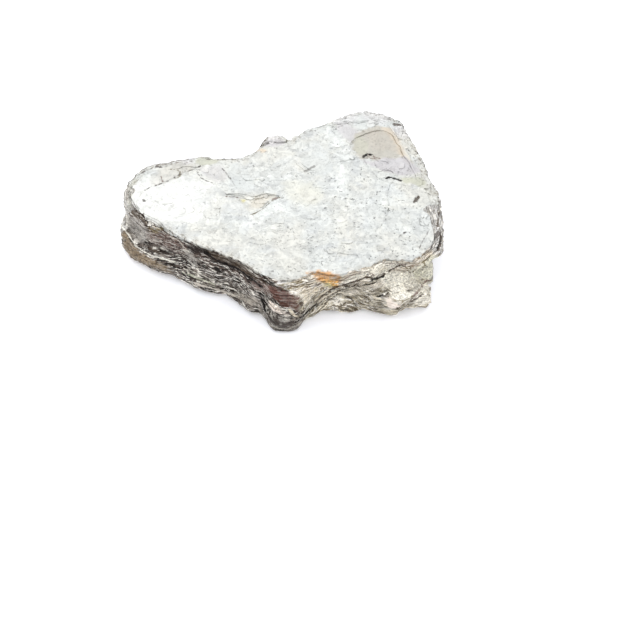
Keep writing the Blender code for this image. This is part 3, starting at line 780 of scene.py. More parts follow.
def loose_points(rim, book):
    """Points all over the face, in slightly shaken rows."""
    spacing = book.face_spacing / MM
    draw = np.random.default_rng(book.seed)
    column, row = np.meshgrid(np.arange(-110, 111), np.arange(-110, 111))
    points = np.stack([column + 0.5 * (row % 2), 0.87 * row], axis=-1).reshape(-1, 2) * spacing
    points += draw.uniform(-0.2, 0.2, points.shape) * spacing
    points = points[radii(points) > spacing]
    shrunk = kept_inside(rim, rim, 2 * MARGIN)
    return points[inside(points, shrunk)]


# ---------------------------------------------------------------- the book

def side_rings(rim, rim_heights, book):
    """Rings of the sides from the underside up, with each one's layer, freedom to break and level."""
    levels = sheet_levels()
    turned = bearings(rim)
    broken = 1 - (1 - CLEAN_SHARE) * near(turned, *CLEAN_FACE) + SHALE_SHARE * between(turned, *SHALE_FACE)
    away = rim / radii(rim)[:, None]
    ripple = RIPPLE_HEIGHT * wave(rim, RIPPLE_LENGTH, 9)
    ripple += sum(rise * near(turned, middle, half_width) for middle, half_width, rise in FOLDS)
    rings, layers, free, heights = [], [], [], []

    def boundary(level, layer):
        sag = 0.0 if level in (0.0, 1.0) else 0.10 * wave(rim, 3.4, 70 + layer)
        return level * rim_heights + (ripple + sag) * math.sin(math.pi * level)

    layer = 0
    for sheet, (low, high) in enumerate(zip(levels, levels[1:])):
        coarse = book.sheet_scatter / MM * wave(rim, EDGE_WAVE, sheet)
        coarse += CHIP_DEPTH * wave(rim, CHIP_LENGTH, sheet)
        start = low
        for leaf, share in enumerate(LEAVES):
            end = low + (high - low) * share
            last = sheet == SHEETS - 1 and leaf == len(LEAVES) - 1
            if last:
                out = np.zeros(len(rim))
            else:
                fine = book.leaf_scatter / MM * wave(rim, 2.2, 100 + layer)
                out = reach(turned, (start + end) / 2 * rim_heights) + broken * (coarse + fine)
                if leaf == GAP:
                    out -= book.gap_depth / MM * fade(wave(rim, 4.0, 200 + layer), -0.3, 0.4)
                    start_at, end_at, depth = DEEP_GAPS.get(sheet, (0, 360, 0.0))
                    out -= depth * between(turned, start_at, end_at, 8) * fade(wave(rim, 3.0, 60), -0.5, 0.1)
            for level in (start, end):
                plan = rim + away * out[:, None]
                rings.append(np.column_stack([plan, boundary(level, layer + (level == end))]))
                layers.append(layer)
                free.append(0.0 if last else 1.0)
                heights.append(level * rim_heights * MM)
            start = end
            layer += 1
    return rings, layers, free, heights


def book_shell(book):
    """The book's closed surface as a mesh, with what its leaves and its finish need to know."""
    rim = ragged(even_outline(RIM_OUTLINE, book.edge_points), RIM_RAGGED, 30)
    steps = step_edges(rim, book)
    rings, layers, free, heights = side_rings(rim, top_heights(rim, steps, book), book)
    around = len(rim)
    low = np.arange(around)
    bands = [np.stack([low, (low + 1) % around, (low + 1) % around + around, low + around], axis=1)
             + band * around for band in range(len(rings) - 1)]
    flat, triangles, on_rim, crease = cleavage_face(rim, steps, book)
    inner = on_rim < 0
    number = np.where(inner, len(rings) * around + np.cumsum(inner) - 1,
                      (len(rings) - 1) * around + on_rim)
    cracked = crease[inner] * fade(wave(flat[inner], 2.2, 400), -0.35, 0.35)
    sunk = top_heights(flat[inner], steps, book) - book.crease_depth / MM * np.maximum(0, cracked)
    face = np.column_stack([flat[inner], sunk])
    silver = ragged(even_outline(SILVER_EDGE + SILVER_BEHIND, SILVER_POINTS), SILVER_RAGGED, 33)
    bare = 0.5 - signed_reach(flat[inner], silver) / (2 * SILVER_SOFT)
    points = np.vstack(rings + [face])
    points[:, :2] -= MIDDLE / MM
    faces = np.vstack(bands).tolist() + number[triangles].tolist() + [low[::-1].tolist()]
    mesh = bpy.data.meshes.new("mica_book")
    mesh.from_pydata((points * MM).tolist(), [], faces)
    mesh.validate()

    turned = bearings(rim)
    away = np.column_stack([rim / radii(rim)[:, None], np.zeros(around)])
    order = np.argsort(turned)
    limit = np.interp(bearings(flat[inner]), turned[order], radii(rim)[order], period=360)
    from_rim = limit - radii(flat[inner])
    above = np.concatenate([height / MM for height in heights] + [sunk + from_rim])
    bearing = np.concatenate([np.tile(turned, len(rings)), bearings(flat[inner])])
    side = np.concatenate([np.ones(len(rings) * around), np.clip(bare, 0, 1)])
    dark_rim = RIM_LINE * fade(wave(rim, 1.4, 410), -0.2, 0.3)
    line = np.concatenate([np.zeros((len(rings) - 1) * around), dark_rim])
    bent = sum(rise * near(bearing, middle, half_width) for middle, half_width, rise in BED_FOLDS)
    first = len(rings) * around
    facts = {
        "free": np.concatenate([np.repeat(free, around), np.zeros(inner.sum())]),
        "layer": np.concatenate([np.repeat(layers, around), np.zeros(inner.sum())]),
        "level": above * MM,
        "bed": (above - bent * np.sin(math.pi * np.clip(above / BOOK_HEIGHT, 0, 1))) * MM,
        "side": side,
        "rim": np.concatenate([np.zeros(first), from_rim * MM]),
        "dark": dark_share(bearing, above),
        "shale": between(bearing, *SHALE_FACE),
        "crease": np.concatenate([line, np.abs(cracked)]),
        "crumbled": crumbled(points),
    }
    surface = BVHTree.FromPolygons((points * MM).tolist(), faces)
    stroke, look, stroke_tone, stain = laid_marks(points, side, first, surface)
    facts["stained"] = stain[:, 3]
    facts["clear"] = np.maximum(stain[:, 3], 1 - fade(stroke[:, 2], *STROKE_CLEAR))
    for name, values in facts.items():
        put_values(mesh, name, values)
    put_vectors(mesh, "outward", np.vstack([np.tile(away, (len(rings), 1)), np.zeros((inner.sum(), 3))]))
    put_vectors(mesh, "stroke", stroke)
    put_vectors(mesh, "stroke_look", look)
    put_colours(mesh, "stroke_tone", stroke_tone)
    put_colours(mesh, "stain", stain)
    return mesh


def signed_reach(places, edge):
    """How far each place lies inside the closed edge, and below 0 how far outside, in mm."""
    gap = np.full(len(places), np.inf)
    for start, end in zip(edge, np.roll(edge, -1, axis=0)):
        gap = np.minimum(gap, radii(gap_to(places, start, end)))
    return np.where(inside(places, edge), gap, -gap)


def gap_to(places, start, end):
    """The way from the nearest point of a straight stretch to each place."""
    along = end - start
    share = np.clip((places - start) @ along / (along @ along), 0, 1)
    return places - start - share[:, None] * along


def along_rim(rim, bearing):
    """How far round the rim, in mm from its back, each bearing lies."""
    turned = (bearings(rim) - BACK) % 360
    order = np.argsort(turned)
    far = np.concatenate([[0], np.cumsum(radii(np.diff(rim[order], axis=0)))])
    return np.interp((np.asarray(bearing) - BACK) % 360, turned[order], far)


def side_chart(plan, height, rim):
    """Where each place lies on the sides: the way round the rim, and the level at which it is seen."""
    order = np.argsort(bearings(rim))
    limit = np.interp(bearings(plan), bearings(rim)[order], radii(rim)[order], period=360)
    seen = height + LEANING * (limit - radii(plan))
    return np.column_stack([along_rim(rim, bearings(plan)), seen])


def laid_marks(points, side, first, surface):
    """The nearest stroke's way, look and tone at each point, and its stains' colour and share.

    The cleavage face, which starts at the first number, is charted by the plan. The sides are
    charted by the way round the rim and the level at which a place is seen.
    """
    rim = even_outline(RIM_OUTLINE, CHART_POINTS)
    spots = points + (*MIDDLE / MM, 0)

    def face_chart(places):
        return places[:, :2]

    def rim_chart(places):
        return side_chart(places[:, :2], places[:, 2], rim)

    charts = (
        (np.arange(first, len(points)), face_chart, TOP_STROKES, TOP_STAINS, SEEN_TOP, TOP_BROKEN),
        (np.flatnonzero(side >= 0.5), rim_chart, SIDE_STROKES, SIDE_STAINS, SEEN_SIDE, SIDE_BROKEN),
    )
    stroke, look = np.full((len(points), 3), FAR), np.zeros((len(points), 3))
    stroke_tone, stain = np.zeros((len(points), 4)), np.zeros((len(points), 4))
    for chosen, chart, strokes, stains, seen, broken in charts:
        places = chart(spots[chosen])
        strokes, stains = (placed(marks, surface, chart) for marks in (strokes, stains))
        way, size, tone = nearest_strokes(places, strokes, seen, broken)
        closer = way[:, 2] - size[:, 0] < stroke[chosen, 2] - look[chosen, 0]
        better = chosen[closer]
        stroke[better], look[better], stroke_tone[better] = way[closer], size[closer], tone[closer]
        stain[chosen] = stained(stain[chosen], places, stains, seen)
    return stroke, look, stroke_tone, stain


def placed(marks, surface, chart):
    """The marks with the pixels they are seen at turned into places on their chart."""
    made = {}
    for name, (size, tone, strength, pixels) in marks.items():
        spots = np.array([seen_spot(np.array(pixel), surface) for pixel in pixels])
        made[name] = (size, tone, strength, chart(spots / MM + (*MIDDLE / MM, 0)))
    return made


def seen_spot(pixel, surface):
    """The place on the book that the camera sees at a pixel, or at the nearest one that shows it."""
    turn = Euler((math.pi / 2 - math.radians(PITCH), 0, 0)).to_matrix()
    step = SENSOR / LENS / VIEW_SIZE
    inwards = (BOOK_SEEN - pixel) / np.linalg.norm(BOOK_SEEN - pixel)
    for nudge in range(NUDGES + 1):
        across, down = (pixel + inwards * NUDGE * nudge - VIEW_SIZE / 2) * step
        ray = turn @ Vector((across, -down, -1.0))
        spot = surface.ray_cast(Vector(CAMERA_SPOT) * MM, ray.normalized())[0]
        if spot is not None:
            return spot
    raise RuntimeError(f"no part of the book is seen near {tuple(pixel)}")


def nearest_strokes(places, strokes, seen, broken):
    """The way to each place from its nearest stroke and how far that is, its look, and its tone."""
    way, look = np.full((len(places), 3), FAR), np.zeros((len(places), 3))
    tone = np.zeros((len(places), 4))
    best = np.full(len(places), FAR)
    for half, name, strength, points in strokes.values():
        for start, end in zip(points, points[1:]):
            gap = gap_to(places, start, end)
            far = radii(gap)
            closer = far - half < best
            best[closer] = far[closer] - half
            way[closer] = np.column_stack([gap, far])[closer]
            look[closer] = (half, strength, broken if half < BOLD else BOLD_BROKEN)
            tone[closer] = toned(name, seen)
    return way, look, tone


def stained(found, places, stains, seen):
    """Colour times share, and share, of what was found at each place with these stains over it."""
    waver = STAIN_WAVER * (wave(places, 1.1, 61) + 0.6 * wave(places, 0.45, 62))
    for soft, name, strength, corners in stains.values():
        edge = even_outline(corners, 5 * len(corners))
        share = strength * fade(signed_reach(places, edge) + waver, -soft, soft)
        found = found * (1 - share[:, None]) + np.array(toned(name, seen)) * share[:, None]
    return found


def toned(name, seen):
    """A tone as the colour that looks so in the light there."""
    return (*(part * seen for part in srgb(*TONES[name])[:3]), 1.0)


def dark_share(bearing, level):
    """How far the dark face reaches, whose right edge slants back towards the rim."""
    start, end, soft = DARK_FACE
    half = (end - start) / 2
    slant = SLANT * fade(level, *SLANT_LEVELS)
    turn = np.abs((bearing - start - half + slant / 2 + 180) % 360 - 180)
    return 1 - fade(turn + slant / 2, half - soft, half + soft)


def crumbled(points):
    """How crumbled the book is at each point, from 0 to 1."""
    spots = points + (*MIDDLE / MM, 0)
    shares = [1 - fade(radii(spots - centre), 0.5 * far, far) for centre, far in CRUMBLED]
    return np.max(shares, axis=0)


def put_values(mesh, name, values):
    mesh.attributes.new(name, "FLOAT", "POINT").data.foreach_set("value", values.astype(np.float32))


def put_colours(mesh, name, colours):
    data = mesh.attributes.new(name, "FLOAT_COLOR", "POINT").data
    data.foreach_set("color", colours.astype(np.float32).ravel())


def put_vectors(mesh, name, vectors):
    data = mesh.attributes.new(name, "FLOAT_VECTOR", "POINT").data
    data.foreach_set("vector", vectors.astype(np.float32).ravel())


# ---------------------------------------------------------------- node helpers

def add(tree, kind, inputs=None, **settings):
    """A node of this kind, with its settings and the values or links of its inputs."""
    made = tree.nodes.new(kind)
    for name, value in settings.items():
        setattr(made, name, value)
    for name, value in (inputs or {}).items():
        if isinstance(value, bpy.types.NodeSocket):
            tree.links.new(value, made.inputs[name])
        else:
            made.inputs[name].default_value = value
    return made


def new_tree(name, kind, inputs, outputs):
    """(tree, its inputs' sockets, its output node) of a new node group."""
    tree = bpy.data.node_groups.new(name, kind)
    for label, (socket_kind, default) in inputs.items():
        socket = tree.interface.new_socket(label, in_out="INPUT", socket_type=socket_kind)
        if default is not None:
            socket.default_value = default
    for label, socket_kind in outputs.items():
        tree.interface.new_socket(label, in_out="OUTPUT", socket_type=socket_kind)
    return tree, tree.nodes.new("NodeGroupInput").outputs, tree.nodes.new("NodeGroupOutput").inputs


def math_node(tree, operation, *values):
    return add(tree, "ShaderNodeMath", dict(enumerate(values)), operation=operation).outputs[0]


def vector_math(tree, operation, *values):
    made = add(tree, "ShaderNodeVectorMath", dict(enumerate(values)), operation=operation)
    return made.outputs["Value" if operation in ("LENGTH", "DOT_PRODUCT") else "Vector"]


def smooth_range(tree, value, low, high, to_low=0.0, to_high=1.0):
    made = add(tree, "ShaderNodeMapRange", {
        "Value": value, "From Min": low, "From Max": high, "To Min": to_low, "To Max": to_high,
    }, interpolation_type="SMOOTHSTEP")
    return made.outputs["Result"]


def mix_colours(tree, share, first, second, blend="MIX"):
    made = add(tree, "ShaderNodeMix", {0: share, 6: first, 7: second},
               data_type="RGBA", blend_type=blend)
    return made.outputs[2]


def noise_node(tree, vector, scale, detail=2.0, roughness=0.5, distortion=0.0):
    made = add(tree, "ShaderNodeTexNoise", {
        "Vector": vector, "Scale": scale, "Detail": detail, "Roughness": roughness,
        "Distortion": distortion,
    })
    return made.outputs[0]


FLOAT, INT, VECTOR = "NodeSocketFloat", "NodeSocketInt", "NodeSocketVector"
COLOUR, GEOMETRY, MATERIAL = "NodeSocketColor", "NodeSocketGeometry", "NodeSocketMaterial"


# ---------------------------------------------------------------- geometry node trees

def named(tree, name, kind="FLOAT"):
    """The values of a mesh attribute."""
    return add(tree, "GeometryNodeInputNamedAttribute", {"Name": name}, data_type=kind).outputs[0]


def scale_vector(tree, vector, scale):
    made = add(tree, "ShaderNodeVectorMath", {0: vector, "Scale": scale}, operation="SCALE")
    return made.outputs["Vector"]


def join_vector(tree, x=0.0, y=0.0, z=0.0):
    return add(tree, "ShaderNodeCombineXYZ", {0: x, 1: y, 2: z}).outputs[0]


def broken_edges_tree():
    """Chips the leaves' edges and creases the cleavage face."""
    tree, given, out = new_tree("Broken edges", "GeometryNodeTree", {
        "Geometry": (GEOMETRY, None), "Chip Depth": (FLOAT, 0.1 * MM), "Chip Length": (FLOAT, 0.6 * MM),
        "Crumple": (FLOAT, 0.05 * MM), "Crumple Length": (FLOAT, 1.3 * MM), "Material": (MATERIAL, None),
    }, {"Geometry": GEOMETRY})
    place = add(tree, "GeometryNodeInputPosition").outputs[0]
    apart = join_vector(tree, z=math_node(tree, "MULTIPLY", named(tree, "layer"), 7.3))
    flat = vector_math(tree, "MULTIPLY", place, (1, 1, 0.2))

    def scaled(length):
        finer = math_node(tree, "DIVIDE", 1.0, length)
        return vector_math(tree, "ADD", scale_vector(tree, flat, finer), apart)

    chips = noise_node(tree, scaled(given["Chip Length"]), 1.0, 3.0, 0.6)
    chips = math_node(tree, "SUBTRACT", chips, 0.5)
    far = math_node(tree, "MULTIPLY", math_node(tree, "MULTIPLY", chips, given["Chip Depth"]), 4.0)
    far = math_node(tree, "MULTIPLY", far, named(tree, "free"))
    more = math_node(tree, "ADD", 1.0, math_node(tree, "MULTIPLY", named(tree, "shale"), 0.5))
    outwards = named(tree, "outward", "FLOAT_VECTOR")
    shift = scale_vector(tree, outwards, math_node(tree, "MULTIPLY", far, more))
    chipped = add(tree, "GeometryNodeSetPosition", {"Geometry": given["Geometry"], "Offset": shift})

    creases = noise_node(tree, scaled(given["Crumple Length"]), 1.0, 4.0, 0.65, 0.4)
    creases = math_node(tree, "SUBTRACT", creases, 0.5)
    calm = math_node(tree, "SUBTRACT", 1.0, named(tree, "side"))
    rougher = math_node(tree, "ADD", 1.0, math_node(tree, "MULTIPLY", named(tree, "crumbled"), 3.0))
    rise = math_node(tree, "MULTIPLY", math_node(tree, "MULTIPLY", creases, given["Crumple"]), calm)
    rise = math_node(tree, "MULTIPLY", math_node(tree, "MULTIPLY", rise, rougher), 4.0)
    creased = add(tree, "GeometryNodeSetPosition", {
        "Geometry": chipped.outputs[0], "Offset": join_vector(tree, z=rise),
    })
    finish_tree(tree, creased.outputs[0], given["Material"], out["Geometry"])
    return tree


def random_value(tree, low, high, seed, kind="FLOAT"):
    """A random value for each point, from low to high."""
    first = {"FLOAT_VECTOR": 0, "FLOAT": 2, "INT": 4}[kind]
    made = add(tree, "FunctionNodeRandomValue", {first: low, first + 1: high, "Seed": seed}, data_type=kind)
    return made.outputs[first // 2]


def broken_shapes(tree, kind, ragged):
    """A few irregular closed shapes with a reach of about 1: flat plates, or lumps."""
    joined = add(tree, "GeometryNodeJoinGeometry")
    place = add(tree, "GeometryNodeInputPosition").outputs[0]
    for number in range(SHAPES):
        if kind == "plate":
            shape = add(tree, "GeometryNodeMeshCylinder", {
                "Vertices": PLATE_CORNERS, "Radius": 1.0, "Depth": 1.0,
            }, fill_type="NGON").outputs["Mesh"]
            flat = vector_math(tree, "MULTIPLY", place, (1, 1, 0))
        else:
            shape = add(tree, "GeometryNodeMeshIcoSphere", {"Radius": 1.0, "Subdivisions": 2})
            shape = shape.outputs["Mesh"]
            flat = place
        moved = vector_math(tree, "ADD", scale_vector(tree, flat, 1.3), (3.7 * number, 1.9 * number, 0.5))
        shake = add(tree, "ShaderNodeTexNoise", {"Vector": moved, "Scale": 1.0, "Detail": 2.0})
        shake = vector_math(tree, "SUBTRACT", shake.outputs["Color"], (0.5, 0.5, 0.5))
        shake = scale_vector(tree, shake, ragged)
        if kind == "plate":
            shake = vector_math(tree, "MULTIPLY", shake, (1, 1, 0))
        broken = add(tree, "GeometryNodeSetPosition", {"Geometry": shape, "Offset": shake}).outputs[0]
        single = add(tree, "GeometryNodeGeometryToInstance", {"Geometry": broken}).outputs[0]
        tree.links.new(single, joined.inputs[0])
    return joined.outputs[0]


def strewn(tree, given, points, shapes, rotation, scale, out):
    """Sets the shapes on the points, each with a tone of its own, and closes the tree."""
    set_out = add(tree, "GeometryNodeInstanceOnPoints", {
        "Points": points, "Instance": shapes, "Pick Instance": True,
        "Instance Index": random_value(tree, 0, SHAPES - 1, given["Seed"], "INT"),
        "Rotation": rotation, "Scale": scale,
    }).outputs[0]
    toned = add(tree, "GeometryNodeStoreNamedAttribute", {
        "Geometry": set_out, "Name": "tone", "Value": random_value(tree, 0.0, 1.0, 91),
    }, data_type="FLOAT", domain="INSTANCE").outputs[0]
    finish_tree(tree, toned, given["Material"], out["Geometry"])


def edge_leaves_tree():
    """Splintered leaves that stand out of the sides, along the sheets."""
    tree, given, out = new_tree("Edge leaves", "GeometryNodeTree", {
        "Geometry": (GEOMETRY, None), "Density": (FLOAT, 6e5), "Depth": (FLOAT, 0.7 * MM),
        "Length": (FLOAT, 1.5 * MM), "Thickness": (FLOAT, 0.1 * MM), "Sunk": (FLOAT, 0.5 * MM),
        "Seed": (INT, 3), "Material": (MATERIAL, None),
    }, {"Geometry": GEOMETRY})
    on_side = math_node(tree, "GREATER_THAN", named(tree, "free"), 0.9)
    above = math_node(tree, "GREATER_THAN", named(tree, "level"), LEAVES_ABOVE * MM)
    more = math_node(tree, "ADD", 0.4, math_node(tree, "MULTIPLY", named(tree, "shale"), 0.6))
    less = math_node(tree, "SUBTRACT", 1.0, math_node(tree, "MULTIPLY", named(tree, "dark"), 0.6))
    share = math_node(tree, "MULTIPLY", math_node(tree, "MULTIPLY", on_side, above),
                      math_node(tree, "MULTIPLY", more, less))
    spread = add(tree, "GeometryNodeDistributePointsOnFaces", {
        "Mesh": given["Geometry"], "Density": math_node(tree, "MULTIPLY", share, given["Density"]),
        "Seed": given["Seed"],
    }, distribute_method="RANDOM")
    away = named(tree, "outward", "FLOAT_VECTOR")
    sunk = add(tree, "GeometryNodeSetPosition", {
        "Geometry": spread.outputs["Points"],
        "Offset": scale_vector(tree, away, math_node(tree, "MULTIPLY", given["Sunk"], -1.0)),
    }).outputs[0]
    facing = add(tree, "FunctionNodeAlignRotationToVector", {"Vector": away}, axis="X").outputs[0]
    lean = random_value(tree, (-0.05, -0.06, -0.2), (0.05, 0.06, 0.2), 17, "FLOAT_VECTOR")
    turned = add(tree, "FunctionNodeRotateRotation", {
        "Rotation": facing, "Rotate By": add(tree, "FunctionNodeEulerToRotation", {0: lean}).outputs[0],
    }, rotation_space="LOCAL").outputs[0]
    size = random_value(tree, 0.45, 1.25, 23)
    scale = join_vector(tree, math_node(tree, "MULTIPLY", given["Depth"], size),
                        math_node(tree, "MULTIPLY", given["Length"], size), given["Thickness"])
    strewn(tree, given, sunk, broken_shapes(tree, "plate", 0.8), turned, scale, out)
    return tree


def torn_flakes_tree():
    """Thin torn flakes that lie on the cleavage face."""
    tree, given, out = new_tree("Torn flakes", "GeometryNodeTree", {
        "Geometry": (GEOMETRY, None), "Density": (FLOAT, 4e5), "Size": (FLOAT, 0.9 * MM),
        "Thickness": (FLOAT, 0.06 * MM), "Tilt": (FLOAT, 0.08), "Seed": (INT, 5),
        "Material": (MATERIAL, None),
    }, {"Geometry": GEOMETRY})
    place = add(tree, "GeometryNodeInputPosition").outputs[0]
    patch = noise_node(tree, place, 1 / (6 * MM), 3.0, 0.6)
    on_top = math_node(tree, "GREATER_THAN", named(tree, "rim"), 0.5 * MM)
    bare = smooth_range(tree, named(tree, "clear"), 0.3, 0.8, 1.0, 0.05)
    share = math_node(tree, "MULTIPLY", on_top, smooth_range(tree, patch, 0.40, 0.62, 0.12, 1.0))
    share = math_node(tree, "MULTIPLY", share, bare)
    spread = add(tree, "GeometryNodeDistributePointsOnFaces", {
        "Mesh": given["Geometry"], "Density": math_node(tree, "MULTIPLY", share, given["Density"]),
        "Seed": given["Seed"],
    }, distribute_method="RANDOM")
    low = join_vector(tree, math_node(tree, "MULTIPLY", given["Tilt"], -1.0),
                      math_node(tree, "MULTIPLY", given["Tilt"], -1.0), -math.pi)
    high = join_vector(tree, given["Tilt"], given["Tilt"], math.pi)
    lean = random_value(tree, low, high, 29, "FLOAT_VECTOR")
    turned = add(tree, "FunctionNodeEulerToRotation", {0: lean}).outputs[0]
    size = math_node(tree, "POWER", random_value(tree, 0.35, 1.35, 31), 1.6)
    size = math_node(tree, "MULTIPLY", given["Size"], size)
    scale = join_vector(tree, size, math_node(tree, "MULTIPLY", size, random_value(tree, 0.35, 1.0, 37)),
                        given["Thickness"])
    strewn(tree, given, spread.outputs["Points"], broken_shapes(tree, "plate", 1.3), turned, scale, out)
    return tree


def crumbs_tree():
    """Crumbs and lumps where the book has crumbled."""
    tree, given, out = new_tree("Crumbs", "GeometryNodeTree", {
        "Geometry": (GEOMETRY, None), "Density": (FLOAT, 1e6), "Size": (FLOAT, 0.4 * MM),
        "Seed": (INT, 11), "Material": (MATERIAL, None),
    }, {"Geometry": GEOMETRY})
    share = math_node(tree, "POWER", named(tree, "crumbled"), 1.5)
    above = math_node(tree, "GREATER_THAN", named(tree, "level"), LEAVES_ABOVE * MM)
    spread = add(tree, "GeometryNodeDistributePointsOnFaces", {
        "Mesh": given["Geometry"], "Seed": given["Seed"],
        "Density": math_node(tree, "MULTIPLY", math_node(tree, "MULTIPLY", share, above), given["Density"]),
    }, distribute_method="RANDOM")
    turn = random_value(tree, (-0.4, -0.4, -math.pi), (0.4, 0.4, math.pi), 41, "FLOAT_VECTOR")
    turned = add(tree, "FunctionNodeEulerToRotation", {0: turn}).outputs[0]
    size = math_node(tree, "MULTIPLY", given["Size"], math_node(
        tree, "POWER", random_value(tree, 0.45, 1.25, 43), 2.0))
    scale = join_vector(tree, size, math_node(tree, "MULTIPLY", size, random_value(tree, 0.5, 1.0, 47)),
                        math_node(tree, "MULTIPLY", size, random_value(tree, 0.25, 0.5, 53)))
    strewn(tree, given, spread.outputs["Points"], broken_shapes(tree, "lump", 0.9), turned, scale, out)
    return tree


def finish_tree(tree, shape, material, out):
    real = add(tree, "GeometryNodeRealizeInstances", {"Geometry": shape})
    painted = add(tree, "GeometryNodeSetMaterial", {"Geometry": real.outputs[0], "Material": material})
    tree.links.new(painted.outputs[0], out)


def with_modifier(thing, tree, values):
    """Adds the tree to the object, with its inputs set by their labels."""
    modifier = thing.modifiers.new(tree.name, "NODES")
    modifier.node_group = tree
    for socket in tree.interface.items_tree:
        if socket.in_out == "INPUT" and socket.name in values:
            modifier[socket.identifier] = values[socket.name]


def made_plain(thing, name):
    """A plain mesh object of what the modifiers make, in place of the object."""
    graph = bpy.context.evaluated_depsgraph_get()
    mesh = bpy.data.meshes.new_from_object(thing.evaluated_get(graph))
    bpy.data.objects.remove(thing, do_unlink=True)
    mesh.name = name
    plain = bpy.data.objects.new(name, mesh)
    bpy.context.scene.collection.objects.link(plain)
    return plain


# ---------------------------------------------------------------- shader groups

def sheet_streaks_group():
    """Long thin streaks that run along the sheets."""
    tree, given, out = new_tree("Sheet streaks", "ShaderNodeTree", {
        "Vector": (VECTOR, None), "Level": (FLOAT, 0.0), "Thickness": (FLOAT, 0.3 * MM),
        "Length": (FLOAT, 5.0 * MM), "Waviness": (FLOAT, 0.5 * MM), "Contrast": (FLOAT, 0.5),
    }, {"Value": FLOAT})
    bend = noise_node(tree, given["Vector"], 1 / (5 * MM), 6.0, 0.72)
    bend = math_node(tree, "MULTIPLY", math_node(tree, "SUBTRACT", bend, 0.5), given["Waviness"])
    parts = add(tree, "ShaderNodeSeparateXYZ", {0: given["Vector"]}).outputs
    thin = math_node(tree, "DIVIDE", math_node(tree, "ADD", given["Level"], bend), given["Thickness"])
    streak = add(tree, "ShaderNodeCombineXYZ", {
        0: math_node(tree, "DIVIDE", parts[0], given["Length"]),
        1: math_node(tree, "DIVIDE", parts[1], given["Length"]), 2: thin,
    })
    value = noise_node(tree, streak.outputs[0], 1.0, 3.0, 0.55)
    half = math_node(tree, "SUBTRACT", 0.5, math_node(tree, "MULTIPLY", given["Contrast"], 0.5))
    tree.links.new(smooth_range(tree, value, half, math_node(tree, "SUBTRACT", 1.0, half)), out["Value"])
    return tree


def cracks_group():
    """Thin wandering hairlines, in patches."""
    tree, given, out = new_tree("Hairline cracks", "ShaderNodeTree", {
        "Vector": (VECTOR, None), "Size": (FLOAT, 2.0 * MM), "Width": (FLOAT, 0.05),
        "Wander": (FLOAT, 0.6), "Cover": (FLOAT, 0.5),
    }, {"Mask": FLOAT})
    scaled = scale_vector(tree, given["Vector"], math_node(tree, "DIVIDE", 1.0, given["Size"]))
    shake = add(tree, "ShaderNodeTexNoise", {"Vector": scaled, "Scale": 1.7, "Detail": 3.0}).outputs["Color"]
    shake = scale_vector(tree, vector_math(tree, "SUBTRACT", shake, (0.5, 0.5, 0.5)), given["Wander"])
    cells = add(tree, "ShaderNodeTexVoronoi", {
        "Vector": vector_math(tree, "ADD", scaled, shake), "Scale": 1.0,
    }, feature="DISTANCE_TO_EDGE")
    line = smooth_range(tree, cells.outputs["Distance"], 0.0, given["Width"], 1.0, 0.0)
    patch = noise_node(tree, scaled, 0.6, 3.0, 0.6)
    edge = math_node(tree, "SUBTRACT", 1.0, given["Cover"])
    patch = smooth_range(tree, patch, math_node(tree, "SUBTRACT", edge, 0.06),
                         math_node(tree, "ADD", edge, 0.06))
    tree.links.new(math_node(tree, "MULTIPLY", line, patch), out["Mask"])
    return tree


def terraces_group():
    """Torn leaves that end one above the other: the shade of each, a painted shadow line at its edge, its
    height.
    """
    tree, given, out = new_tree("Torn terraces", "ShaderNodeTree", {
        "Vector": (VECTOR, None), "Size": (FLOAT, 5.0 * MM), "Levels": (FLOAT, 12.0), "Line": (FLOAT, 0.1),
        "Ragged": (FLOAT, 0.6),
    }, {"Shade": FLOAT, "Line": FLOAT, "Height": FLOAT})
    scaled = scale_vector(tree, given["Vector"], math_node(tree, "DIVIDE", 1.0, given["Size"]))
    rise = noise_node(tree, scaled, 1.0, 6.0, given["Ragged"], 0.5)
    rise = math_node(tree, "MULTIPLY", rise, given["Levels"])
    level = math_node(tree, "FLOOR", rise)
    above = math_node(tree, "FRACT", rise)
    up = smooth_range(tree, above, 0.0, given["Line"])
    fallen = noise_node(tree, scaled, 2.3, 2.0)
    # Painted shadow: a dark band on the rising side of each step.
    line = math_node(tree, "MULTIPLY", math_node(tree, "SUBTRACT", 1.0, up),
                     smooth_range(tree, fallen, 0.42, 0.56))
    tree.links.new(add(tree, "ShaderNodeTexWhiteNoise", {"W": level}, noise_dimensions="1D").outputs[0],
                   out["Shade"])
    tree.links.new(line, out["Line"])
    tree.links.new(math_node(tree, "ADD", level, up), out["Height"])
    return tree


